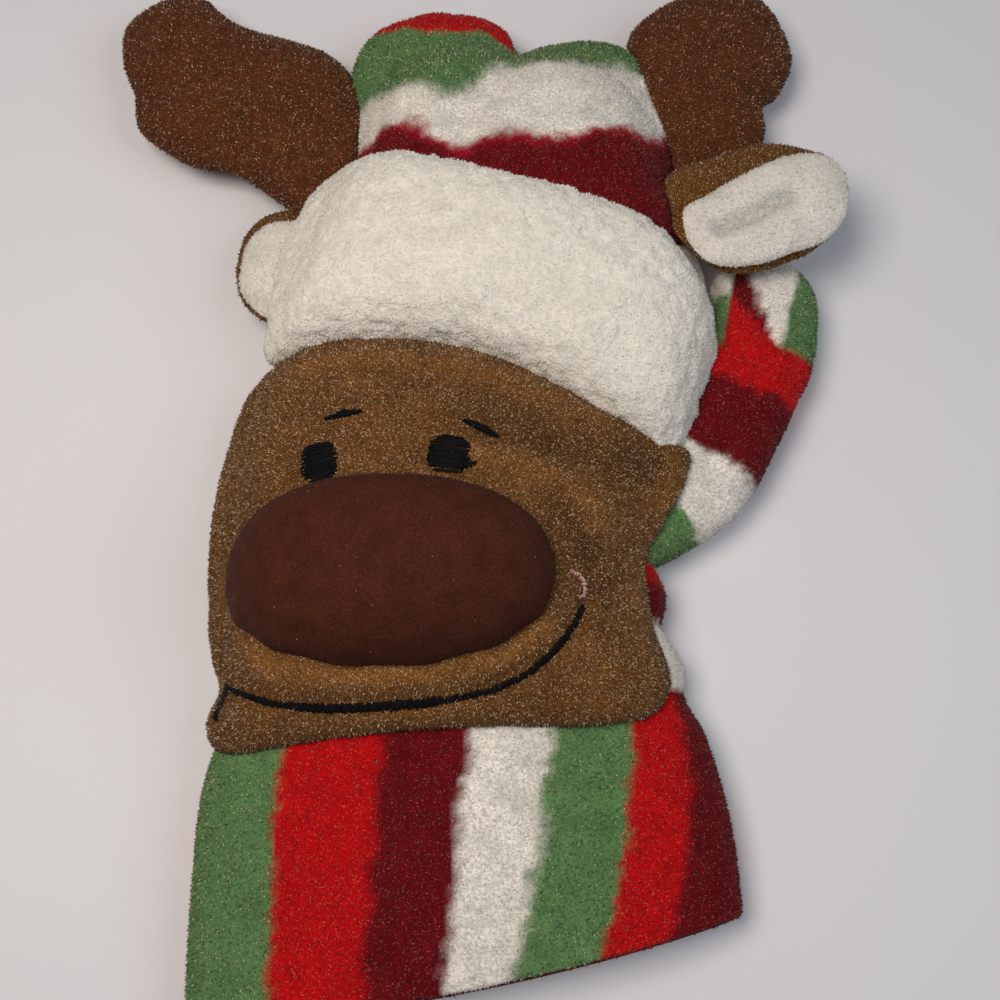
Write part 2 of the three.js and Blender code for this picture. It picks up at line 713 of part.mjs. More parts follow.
const handRoom = handOuter(GAP);
const thumbHollow = thumb(THUMB_HOLLOW_SIDES, WALL, THUMB_RINGS - 1);
const thumbWay = thumbHollow.trimByPlane([0, -1, 0], -THUMB_OPEN_UNTIL * HAND_LENGTH);
add("mitten_shell", fitted(handOuter(0), [handInner(), thumbWay]), "stripe");
add("thumb", fitted(thumb(THUMB_SIDES, 0, THUMB_RINGS), [thumbHollow, handRoom]), "stripe");

// What the upper pieces are cut to: the shell, the brim, the crown and the face, each with its clearance.
const shellRoom = handRoom.add(thumb(THUMB_SIDES, -GAP, THUMB_RINGS));
const brimRoom = brim(GAP);
const brimSolid = fitted(brim(), [shellRoom]);
const crownSolid = fitted(pad(crown), [shellRoom, brimRoom]);
const crownRoom = pad(crown, 1.3 * GAP);
const faceSolid = fitted(pad(face), [shellRoom, brimRoom]);
const faceRoom = pad(face, GAP);
const noseSolid = fitted(pad(nose), [faceRoom]);
const noseRoom = pad(nose, GAP);
add("face", faceSolid, "tan");
add("nose", noseSolid, "nose");
add("brim", brimSolid, "cream");
add("crown", crownSolid, "stripe");

const hatRooms = [shellRoom, brimRoom, crownRoom];
const antlerRooms = [];
Object.entries(ANTLERS).forEach(([name, shape]) => {
  const form = pillow(shape, { span: ANTLER_SPAN, low: ANTLER_LIFT, thickness: ANTLER_THICKNESS });
  antlerRooms.push(pad(form, GAP));
  add(name, fitted(pad(form), hatRooms), "antler");
});
Object.entries(EARS).forEach(([name, shape]) => {
  const low = shape.lift * HAND_HEIGHT;
  const back = pillow(shape, { span: EAR_SPAN, low, thickness: EAR_BACK_THICKNESS });
  const lining = pillow(shape, {
    span: EAR_SPAN,
    low: low + EAR_BACK_THICKNESS / 2,
    thickness: EAR_LINING_THICKNESS + EAR_BACK_THICKNESS / 2,
    share: LINING_SHARE,
    shift: LINING_SHIFT,
  });
  add(name + "_back", fitted(pad(back), [...hatRooms, ...antlerRooms]), "tan");
  add(name + "_lining", fitted(pad(lining), [...hatRooms, ...antlerRooms, pad(back, GAP)]), "cream");
});

const stitchRooms = [faceRoom, noseRoom];
Object.entries(EYES).forEach(([name, shape]) => {
  add(name, fitted(pad(stitched(shape, EYE_WIDTH * shape.wide, EYE_WIDTH * 0.95)), stitchRooms), "thread");
});
Object.entries(BROWS).forEach(([name, shape]) => {
  add(name, fitted(pad(stitched(shape, BROW_LENGTH, BROW_WIDTH)), stitchRooms), "thread");
});
add("smile", fitted(smile(), stitchRooms), "thread");

// The origin goes under the middle of everything, at table height.
const box = new THREE.Box3().setFromObject(mitten);
mitten.position.set(-(box.min.x + box.max.x) / 2, -(box.min.y + box.max.y) / 2, -box.min.z);

export default mitten;
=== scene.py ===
"""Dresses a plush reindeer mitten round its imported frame: cloth, stuffing, pile and stitches.

Shapes are worked out in millimetres on the mitten's own plan. Its origin is the middle of the cuff's mouth,
+Y runs to the fingertips and +Z up through the back of the hand. They are moved into the frame, in metres,
when they become meshes.
"""

import logging
import math
from collections.abc import Callable, Sequence
from dataclasses import dataclass, field
from enum import Enum
from typing import Any

import bpy
import numpy as np
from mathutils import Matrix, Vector


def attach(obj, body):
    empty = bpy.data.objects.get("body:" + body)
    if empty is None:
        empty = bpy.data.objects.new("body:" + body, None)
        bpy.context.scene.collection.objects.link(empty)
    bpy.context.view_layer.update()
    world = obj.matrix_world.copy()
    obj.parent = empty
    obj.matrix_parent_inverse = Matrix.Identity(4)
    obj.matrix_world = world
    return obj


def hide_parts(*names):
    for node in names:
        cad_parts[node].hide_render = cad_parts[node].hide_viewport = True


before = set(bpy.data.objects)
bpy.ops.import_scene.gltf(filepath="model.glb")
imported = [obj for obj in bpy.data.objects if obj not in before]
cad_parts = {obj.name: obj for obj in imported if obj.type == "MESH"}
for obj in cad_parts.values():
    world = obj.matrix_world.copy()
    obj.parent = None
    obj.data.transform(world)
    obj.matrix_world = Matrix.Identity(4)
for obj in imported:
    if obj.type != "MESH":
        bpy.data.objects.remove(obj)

Array = np.ndarray
Height = Callable[[Array, Array, Array], Array]
Tufts = tuple[Array, Array, Array]
Layers = tuple[tuple[float, float], ...]
log = logging.getLogger("mitten")

MM = 0.001
# The middle of the cuff's mouth, in the frame's millimetres
MOUTH_PLACE = (-0.7615, -132.1922)
# How high a pad's rim stands, how deep it goes past the hand's seam, and how far it floats over the hand
EDGE = 1.8
SINK = 2.5
SEAT = 0.4


class Yarn(Enum):
    """The dyed yarns, as the colours they show in even light."""

    GREEN = "#5e8250"
    RED = "#bd060c"
    DARK_RED = "#6a0410"
    CRIMSON = "#9a0a20"
    WHITE = "#ebe3d8"
    CREAM = "#f4ecdf"
    TAN = "#6a431b"
    ANTLER = "#5d3115"
    CHOCOLATE = "#4d2417"
    THREAD = "#07080d"
    PINK = "#d9a79a"

    @property
    def linear(self) -> Array:
        """The colour as linear red, green and blue."""
        parts = np.array([int(self.value[i : i + 2], 16) for i in (1, 3, 5)]) / 255
        return np.where(parts <= 0.04045, parts / 12.92, ((parts + 0.055) / 1.055) ** 2.4)


def power(value: Array, exponent: float) -> Array:
    """The size of numbers to a power, with their signs kept."""
    return np.sign(value) * np.abs(value) ** exponent


def dome(share: Array, fullness: float, roundness: float) -> Array:
    """A dome's height share: one minus the share to the fullness, all to one over the roundness.

    Args:
        share: The way from the middle to the rim.
        fullness: How far out the dome stays high.
        roundness: How upright it is at its rim.

    Returns:
        Height shares, 1 in the middle and 0 at the rim.
    """
    return (1 - np.minimum(np.abs(share), 1) ** fullness) ** (1 / roundness)


def smooth_step(value: Array) -> Array:
    """Three squares less two cubes of the value held between 0 and 1."""
    held = np.clip(value, 0, 1)
    return held * held * (3 - 2 * held)


def noise(points: Array, scale: float, seed: int) -> Array:
    """Smooth lattice noise: random values at whole steps of the scale, blended by smooth steps between.

    Args:
        points: Places in millimetres, with x, y and z last.
        scale: The lattice's step in millimetres.
        seed: Chooses the values.

    Returns:
        Values from -1 to 1, one for each place.
    """
    values = np.random.default_rng(seed).uniform(-1, 1, 4096)
    place = points / scale
    base = np.floor(place).astype(np.int64)
    blend = smooth_step(place - base)
    total = np.zeros(points.shape[:-1])
    for corner in np.ndindex(2, 2, 2):
        cell = base + np.array(corner)
        key = (cell[..., 0] * 73856093) ^ (cell[..., 1] * 19349663) ^ (cell[..., 2] * 83492791)
        weight = np.prod(np.where(np.array(corner) == 1, blend, 1 - blend), axis=-1)
        total += weight * values[key & 4095]
    return total


def lumps(points: Array, layers: Layers, seed: int) -> Array:
    """Layers of noise added up, each an amount and a scale in millimetres, with seeds in a row."""
    return sum(amount * noise(points, scale, seed + row) for row, (amount, scale) in enumerate(layers))


def closed_line(places: Array, count: int) -> Array:
    """Even points on a closed curve through places: centripetal cubic pieces, resampled by their length.

    Args:
        places: Knots in plan, one a row.
        count: How many points to give back.

    Returns:
        The points, one a row, the first at the first knot.
    """
    before, after, beyond = (np.roll(places, shift, axis=0) for shift in (1, -1, -2))
    gaps = [
        np.sqrt(np.linalg.norm(end - start, axis=1))[:, None]
        for start, end in ((before, places), (places, after), (after, beyond))
    ]
    leave = (
        (places - before) / gaps[0] - (after - before) / (gaps[0] + gaps[1]) + (after - places) / gaps[1]
    ) * gaps[1]
    arrive = (
        (after - places) / gaps[1] - (beyond - places) / (gaps[1] + gaps[2]) + (beyond - after) / gaps[2]
    ) * gaps[1]
    t = np.linspace(0, 1, 40, endpoint=False)[None, :, None]
    curve = (
        places[:, None] * (1 + 2 * t) * (1 - t) ** 2
        + leave[:, None] * t * (1 - t) ** 2
        + after[:, None] * t**2 * (3 - 2 * t)
        - arrive[:, None] * t**2 * (1 - t)
    ).reshape(-1, 2)
    around = np.vstack([curve, curve[:1]])
    length = np.concatenate([[0], np.cumsum(np.linalg.norm(np.diff(around, axis=0), axis=1))])
    wanted = np.linspace(0, length[-1], count, endpoint=False)
    return np.column_stack([np.interp(wanted, length, around[:, k]) for k in range(2)])


@dataclass(frozen=True)
class Table:
    """Named columns of shares at stations along a piece, read on a smooth curve through them."""

    at: tuple[float, ...]
    columns: dict[str, tuple[float, ...]]

    def read(self, column: str, at: Array) -> Array:
        """Reads a column: cubic pieces whose slopes come from the neighbouring rows.

        Args:
            column: The column's name.
            at: Stations to read it at.

        Returns:
            The column's values there.
        """
        knots = np.array(self.at)
        values = np.array(self.columns[column])
        slopes = np.gradient(values, knots)
        slopes[1:-1] = (values[2:] - values[:-2]) / (knots[2:] - knots[:-2])
        row = np.clip(np.searchsorted(knots, at, side="right") - 1, 0, len(knots) - 2)
        span = knots[row + 1] - knots[row]
        t = np.clip((at - knots[row]) / span, 0, 1)
        start = (1 + 2 * t) * (1 - t) ** 2 * values[row] + t * (1 - t) ** 2 * span * slopes[row]
        end = t**2 * (3 - 2 * t) * values[row + 1] - t**2 * (1 - t) * span * slopes[row + 1]
        return start + end


def open_line(places: Array, count: int) -> Array:
    """Points on a smooth open curve through places: a cubic between each pair, with even slopes.

    Args:
        places: Knots in plan, one a row.
        count: How many points to give back.

    Returns:
        The points, one a row, from the first knot to the last.
    """
    knots = np.linspace(0, 1, len(places))
    table = Table(tuple(knots), {"x": tuple(places[:, 0]), "y": tuple(places[:, 1])})
    at = np.linspace(0, 1, count)
    return np.column_stack([table.read("x", at), table.read("y", at)])


@dataclass(frozen=True)
class HandPlan:
    """The hollow hand: its outline, its section and the height of its back."""

    length: float = 252.0
    width: float = 140.0
    height: float = 28.0
    seam: float = 9.0
    wall: float = 2.5
    mouth_slant: float = 13.0
    mouth_curve: float = 4.0
    slant_until: float = 0.25
    tip_round_from: float = 0.88
    elastic: tuple[float, ...] = (0.26, 0.335, 0.41)
    gather_reach: float = 0.022
    gather_depth: float = 3.0
    end_round: float = 2.4
    back_round: float = 2.5
    rows: Table = Table(
        at=(0, 0.1, 0.17, 0.23, 0.26, 0.335, 0.41, 0.47, 0.56, 0.65, 0.74, 0.82, 0.89, 1),
        columns={
            "left": (
                -1, -1, -0.98, -0.92, -0.9, -0.9, -0.89, -0.88, -0.84, -0.74, -0.65, -0.54, -0.46, -0.39,
            ),
            "right": (1, 0.98, 0.94, 0.88, 0.82, 0.74, 0.71, 0.76, 0.87, 0.97, 0.95, 0.84, 0.76, 0.66),
            "rise": (0.84, 0.93, 0.97, 0.96, 0.95, 0.96, 0.98, 1, 1, 0.98, 0.94, 0.88, 0.82, 0.74),
        },
    )

    def elastic_at(self, along: Array) -> Array:
        """How hard the wrist elastic draws the cloth in: the strongest of a bell over each row."""
        bells = [np.exp(-(((along - row) / self.gather_reach) ** 2)) for row in self.elastic]
        return np.max(bells, axis=0)

    def row(self, along: Array) -> tuple[Array, Array, Array, Array]:
        """The hand at shares of its length.

        Args:
            along: Shares of the length.

        Returns:
            The middle line, the half width, the height of the back and the roundness of the end.
        """
        half = self.width / 2
        inside = (along > self.elastic[0]) & (along < self.elastic[-1])
        bulge = np.where(inside, self.gather_depth * (1 - self.elastic_at(along)), 0)
        left = self.rows.read("left", along) * half
        right = self.rows.read("right", along) * half + bulge
        tip = np.clip((along - self.tip_round_from) / (1 - self.tip_round_from), 0, 1)
        top = self.rows.read("rise", along) * self.height
        return (left + right) / 2, (right - left) / 2, top, dome(tip, self.end_round, self.end_round)

    def place(self, across: Array, along: Array) -> tuple[Array, Array]:
        """The point in plan at shares across the half width and along the length."""
        middle, half, _, _ = self.row(np.asarray(along, float))
        return middle + across * half, np.asarray(along, float) * self.length

    def spots(self, shares: Sequence[tuple[float, float]]) -> Array:
        """Points in plan, one a row, for pairs of shares across and along."""
        pairs = np.array(shares, float)
        return np.column_stack(self.place(pairs[:, 0], pairs[:, 1]))

    def shares(self, x: Array, y: Array) -> tuple[Array, Array]:
        """The shares across and along of points in plan, without the rounding of the fingertips.

        Args:
            x: Places across the plan.
            y: Places along the plan.

        Returns:
            The shares across the half width and along the length.
        """
        along = y / self.length
        middle, half, _, _ = self.row(np.clip(along, 0, 1))
        return (x - middle) / half, along

    def top(self, x: Array, y: Array) -> Array:
        """The height of the hand's back over points in plan, and of its seam outside the outline.

        Args:
            x: Places across the plan.
            y: Places along the plan.

        Returns:
            The heights: over the seam, the section's dome, which shrinks towards the fingertips.
        """
        along = np.clip(y / self.length, 0, 1)
        middle, half, top, narrow = self.row(along)
        real = (narrow > 0.05) & (y <= self.length)
        round_end = np.where(real, narrow, 1)
        across = (x - middle) / (half * round_end)
        rise = (top - self.seam) * np.sqrt(round_end) * dome(across, self.back_round, self.back_round)
        return np.where(real, self.seam + rise, self.seam)


HAND = HandPlan()


@dataclass(frozen=True)
class ThumbPlan:
    """The thumb: its curved line from a root on the hand, its widths and its thickness."""

    length: float = 112.0
    width: float = 32.0
    thickness: float = 20.0
    lift: float = 0.6
    round_from: float = 0.84
    tip_round: float = 2.2
    top_round: float = 2.5
    top_share: float = 0.97
    root: tuple[float, float] = (0.8, 0.45)
    rows: Table = Table(
        at=(0, 0.15, 0.29, 0.4, 0.52, 0.65, 0.79, 1),
        columns={
            "x": (-0.16, -0.02, 0.1, 0.19, 0.245, 0.3, 0.345, 0.355),
            "y": (-0.03, 0.01, 0.065, 0.13, 0.235, 0.36, 0.49, 0.705),
            "left": (0.9, 0.95, 0.95, 0.93, 0.9, 0.87, 0.82, 0.74),
            "right": (0.9, 1, 1, 1, 1.06, 1.1, 1.18, 1.1),
            "thick": (0.8, 0.95, 1, 1, 1, 0.98, 0.96, 0.82),
        },
    )

    def centre(self, at: Array) -> Array:
        """Points of the middle line: the root, and the rows' shares of the thumb's length from it.

        Args:
            at: Shares of the length.

        Returns:
            The points in plan, one a row.
        """
        x, y = HAND.place(*np.array(self.root))
        away = np.column_stack([self.rows.read("x", at), self.rows.read("y", at)])
        return away * self.length + np.array([float(x), float(y)])

    def ahead(self, at: Array) -> Array:
        """Unit directions of the middle line."""
        step = self.centre(np.minimum(at + 0.01, 1)) - self.centre(np.maximum(at - 0.01, 0))
        return step / np.linalg.norm(step, axis=1)[:, None]

    def tip(self, at: Array) -> Array:
        """How wide the rounded tip leaves the thumb at shares of its length."""
        rounded = np.clip((at - self.round_from) / (1 - self.round_from), 0, 1)
        return dome(rounded, self.tip_round, self.tip_round)

    def top(self, x: Array, y: Array) -> Array:
        """The height of the thumb's upper side over points in plan, and nothing beside it.

        Args:
            x: Places across the plan.
            y: Places along the plan.

        Returns:
            The heights: the section's dome over the nearest point of the middle line.
        """
        at = np.linspace(0, 1, 90)
        line = self.centre(at)
        points = np.column_stack([np.ravel(x), np.ravel(y)])
        gaps = np.linalg.norm(points[:, None, :] - line[None], axis=2)
        near = np.argmin(gaps, axis=1)
        half = self.top_share * self.width / 2 * self.tip(at[near])
        off = gaps[np.arange(len(near)), near] / np.maximum(half, 0.1)
        rise = self.rows.read("thick", at[near]) * self.thickness / 2
        height = self.lift + self.thickness / 2 + rise * dome(off, self.top_round, self.top_round)
        return np.where(off < 1, height, 0).reshape(np.shape(x))


THUMB = ThumbPlan()


class Outline:
    """A closed outline in plan, seen from a point inside it."""

    def __init__(self, places: Array, middle: Array) -> None:
        """Keeps the knots and works out the reach from the middle in every direction.

        Args:
            places: Knots in plan, one a row.
            middle: A point that sees the whole outline.
        """
        self.places = places
        self.middle = np.asarray(middle, float).reshape(2)
        dense = closed_line(places, 900) - self.middle
        angles = np.arctan2(dense[:, 1], dense[:, 0])
        order = np.argsort(angles)
        self.angles = angles[order]
        self.reaches = np.linalg.norm(dense, axis=1)[order]

    def share(self, x: Array, y: Array) -> Array:
        """How far points lie from the middle to the rim, as shares.

        Args:
            x: Places across the plan.
            y: Places along the plan.

        Returns:
            The shares: 0 in the middle, 1 on the rim.
        """
        away_x, away_y = x - self.middle[0], y - self.middle[1]
        rim = np.interp(np.arctan2(away_y, away_x), self.angles, self.reaches, period=2 * math.pi)
        return np.hypot(away_x, away_y) / rim


@dataclass
class Skin:
    """A surface as a grid of points, with the dye of each point.

    The grid's second way round closes on itself. Its first and last rings close at their middles if capped.
    """

    points: Array
    dye: Array
    capped: bool = True

    def normals(self) -> Array:
        """Outward unit normals: the cross product of the grid's two directions.

        Returns:
            One for each point.
        """
        around = np.roll(self.points, -1, axis=1) - np.roll(self.points, 1, axis=1)
        along = np.gradient(self.points, axis=0)
        found = np.cross(around, along)
        found /= np.maximum(np.linalg.norm(found, axis=2), 1e-9)[..., None]
        return found if self.volume() > 0 else -found

    def volume(self) -> float:
        """Six times the volume the grid encloses, summed over the pyramids from its middle to its faces.

        Returns:
            The sum, below zero if the grid is inside out.
        """
        p = self.points - self.points.mean(axis=(0, 1))
        a, b = p[:-1], np.roll(p, -1, axis=1)[:-1]
        c, d = np.roll(p, -1, axis=1)[1:], p[1:]
        both = np.einsum("ijk,ijk->ij", a, np.cross(b, c)) + np.einsum("ijk,ijk->ij", a, np.cross(c, d))
        return float(both.sum())

    def raised(self, amount: Array) -> "Skin":
        """The same skin with every point moved out by an amount."""
        return Skin(self.points + self.normals() * amount[..., None], self.dye, self.capped)

    def faces(self) -> tuple[Array, Array, Array, Array]:
        """The mesh of the grid.

        Returns:
            Its points, their dye, its four-sided faces and its three-sided ones.
        """
        rings, sides = self.points.shape[:2]
        index = np.arange(rings * sides).reshape(rings, sides)
        here, there = index, np.roll(index, -1, axis=1)
        quads = np.stack([here[:-1], there[:-1], there[1:], here[1:]], axis=-1).reshape(-1, 4)
        points, dye = self.points.reshape(-1, 3), self.dye.reshape(-1, 3)
        triangles = np.zeros((0, 3), int)
        if self.capped:
            poles = np.array([self.points[0].mean(axis=0), self.points[-1].mean(axis=0)])
            points = np.vstack([points, poles])
            dye = np.vstack([dye, self.dye[0].mean(axis=0), self.dye[-1].mean(axis=0)])
            first = np.full(sides, rings * sides)
            near = np.stack([first, there[0], here[0]], axis=-1)
            far = np.stack([first + 1, here[-1], there[-1]], axis=-1)
            triangles = np.vstack([near, far])
        if self.volume() < 0:
            quads, triangles = quads[:, ::-1], triangles[:, ::-1]
        return points, dye, quads, triangles


def mesh_object(name: str, points: Array, dye: Array, faces: Sequence[Array]) -> bpy.types.Object:
    """Makes a smooth mesh object at the origin, with its place in its mesh and its dye as an attribute.

    Args:
        name: The object's name.
        points: Places in millimetres on the mitten's plan.
        dye: Linear colours, one for each point.
        faces: Arrays of faces, each with one number of corners.

    Returns:
        The object, linked to the scene.
    """
    mesh = bpy.data.meshes.new(name)
    moved = (points + np.array([*MOUTH_PLACE, 0.0])) * MM
    mesh.vertices.add(len(moved))
    mesh.vertices.foreach_set("co", moved.astype(np.float32).ravel())
    corners = np.concatenate([part.ravel() for part in faces]).astype(np.int32)
    sizes = np.concatenate([np.full(len(part), part.shape[1]) for part in faces])
    mesh.loops.add(len(corners))
    mesh.loops.foreach_set("vertex_index", corners)
    mesh.polygons.add(len(sizes))
    mesh.polygons.foreach_set("loop_start", (np.cumsum(sizes) - sizes).astype(np.int32))
    mesh.update(calc_edges=True)
    mesh.polygons.foreach_set("use_smooth", np.full(len(sizes), True))
    colour = mesh.attributes.new("dye", "FLOAT_COLOR", "POINT")
    rgba = np.column_stack([dye, np.ones(len(dye))]).astype(np.float32)
    colour.data.foreach_set("color", rgba.ravel())
    piece = bpy.data.objects.new(name, mesh)
    bpy.context.scene.collection.objects.link(piece)
    return piece


def cut(piece: bpy.types.Object, skins: Sequence[Skin]) -> None:
    """Cuts closed skins out of a piece.

    Args:
        piece: The closed piece, whose mesh is replaced.
        skins: What is cut out of it, one after another.
    """
    tools = []
    for number, skin in enumerate(skins):
        points, dye, quads, triangles = skin.faces()
        tools.append(mesh_object(f"{piece.name}_cutter_{number}", points, dye, [quads, triangles]))
        modifier = piece.modifiers.new("cut", "BOOLEAN")
        modifier.operation = "DIFFERENCE"
        modifier.solver = "EXACT"
        modifier.object = tools[-1]
    graph = bpy.context.evaluated_depsgraph_get()
    mesh = bpy.data.meshes.new_from_object(piece.evaluated_get(graph))
    piece.modifiers.clear()
    piece.data = mesh
    for tool in tools:
        bpy.data.objects.remove(tool)
    mesh.polygons.foreach_set("use_smooth", np.full(len(mesh.polygons), True))
    log.info("%s: %d cut out, %d points", piece.name, len(skins), len(mesh.vertices))


@dataclass(frozen=True)
class Finish:
    """A cloth's finish: grain and mottling over its dye, painted pale glints of light, nap and sheen."""

    name: str
    grain: float = 0.8
    contrast: float = 0.35
    mottle: float = 6.0
    mottling: float = 0.16
    painted_glint: float = 0.35
    painted_glint_share: float = 0.66
    relief: float = 0.35
    roughness: float = 0.92
    sheen: float = 0.12
    sheen_tint: tuple[float, float, float, float] = (1.0, 0.95, 0.88, 1.0)

    def material(self) -> bpy.types.Material:
        """Makes the material: the dye, varied in tone by two sizes of noise, with painted pale glints and a
        bumped nap.

        Returns:
            The material, which reads Object coordinates and the piece's dye.
        """
        material = bpy.data.materials.new(self.name)
        material.use_nodes = True
        tree = material.node_tree
        shader = tree.nodes["Principled BSDF"]
        shader.inputs["Roughness"].default_value = self.roughness
        shader.inputs["Sheen Weight"].default_value = self.sheen
        shader.inputs["Sheen Roughness"].default_value = 0.45
        shader.inputs["Sheen Tint"].default_value = self.sheen_tint
        shader.inputs["Specular IOR Level"].default_value = 0.15
        place = tree.nodes.new("ShaderNodeTexCoord").outputs["Object"]
        dye = tree.nodes.new("ShaderNodeAttribute")
        dye.attribute_name = "dye"
        grain = self._noise(tree, place, self.grain, 2.0)
        mottle = self._noise(tree, place, self.mottle, 3.0)
        fine = self._range(tree, grain, 0.3, 0.7, 1 - self.contrast, 1 + self.contrast)
        broad = self._range(tree, mottle, 0.3, 0.7, 1 - self.mottling, 1 + self.mottling)
        shade = self._math(tree, "MULTIPLY", fine, broad)
        coloured = tree.nodes.new("ShaderNodeVectorMath")
        coloured.operation = "SCALE"
        tree.links.new(dye.outputs["Color"], coloured.inputs[0])
        tree.links.new(shade, coloured.inputs["Scale"])
        # Painted glints: pale gold specks of light mixed into the base colour where a fine noise runs high
        painted_glint_specks = self._noise(tree, place, self.grain * 0.6, 1.0)
        painted_glint_amount = self._range(tree, painted_glint_specks, self.painted_glint_share, self.painted_glint_share + 0.06, 0.0, self.painted_glint)
        painted_glints = tree.nodes.new("ShaderNodeMix")
        painted_glints.data_type = "RGBA"
        tree.links.new(painted_glint_amount, painted_glints.inputs["Factor"])
        tree.links.new(coloured.outputs["Vector"], painted_glints.inputs["A"])
        painted_glints.inputs["B"].default_value = (0.86, 0.7, 0.48, 1)
        tree.links.new(painted_glints.outputs["Result"], shader.inputs["Base Color"])
        bump = tree.nodes.new("ShaderNodeBump")
        bump.inputs["Strength"].default_value = self.relief
        bump.inputs["Distance"].default_value = self.grain * MM
        tree.links.new(grain, bump.inputs["Height"])
        tree.links.new(bump.outputs["Normal"], shader.inputs["Normal"])
        return material

    @staticmethod
    def _noise(tree: Any, place: Any, size: float, detail: float) -> Any:
        """A noise whose grains are about a size in millimetres.

        Args:
            tree: The material's nodes.
            place: Where the noise is read.
            size: The grains' size.
            detail: How many finer layers there are.

        Returns:
            The socket of its value.
        """
        node = tree.nodes.new("ShaderNodeTexNoise")
        node.inputs["Scale"].default_value = 1 / (size * MM)
        node.inputs["Detail"].default_value = detail
        tree.links.new(place, node.inputs["Vector"])
        return node.outputs["Fac"]

    @staticmethod
    def _range(tree: Any, value: Any, low: float, high: float, to_low: float, to_high: float) -> Any:
        """Maps a value from one range to another, and holds it inside.

        Args:
            tree: The material's nodes.
            value: The value's socket.
            low: Where the first range starts.
            high: Where it ends.
            to_low: Where the second range starts.
            to_high: Where it ends.

        Returns:
            The socket of the result.
        """
        node = tree.nodes.new("ShaderNodeMapRange")
        for name, number in zip(("From Min", "From Max", "To Min", "To Max"), (low, high, to_low, to_high)):
            node.inputs[name].default_value = number
        tree.links.new(value, node.inputs["Value"])
        return node.outputs["Result"]

    @staticmethod
    def _math(tree: Any, operation: str, first: Any, second: Any) -> Any:
        """Joins two values by an operation.

        Args:
            tree: The material's nodes.
            operation: The operation's name.
            first: The first value's socket.
            second: The second value's socket.

        Returns:
            The socket of the result.
        """
        node = tree.nodes.new("ShaderNodeMath")
        node.operation = operation
        tree.links.new(first, node.inputs[0])
        tree.links.new(second, node.inputs[1])
        return node.outputs["Value"]


@dataclass(frozen=True)
class Strands:
    """A pile's material: its dye alone, dull, with the sheen of fine fibres."""

    name: str
    roughness: float = 0.85
    sheen: float = 0.08

    def material(self) -> bpy.types.Material:
        """Makes the material, which reads the piece's dye.

        Returns:
            The material.
        """
        material = bpy.data.materials.new(self.name)
        material.use_nodes = True
        tree = material.node_tree
        shader = tree.nodes["Principled BSDF"]
        shader.inputs["Roughness"].default_value = self.roughness
        shader.inputs["Sheen Weight"].default_value = self.sheen
        shader.inputs["Specular IOR Level"].default_value = 0.2
        dye = tree.nodes.new("ShaderNodeAttribute")
        dye.attribute_name = "dye"
        tree.links.new(dye.outputs["Color"], shader.inputs["Base Color"])
        return material


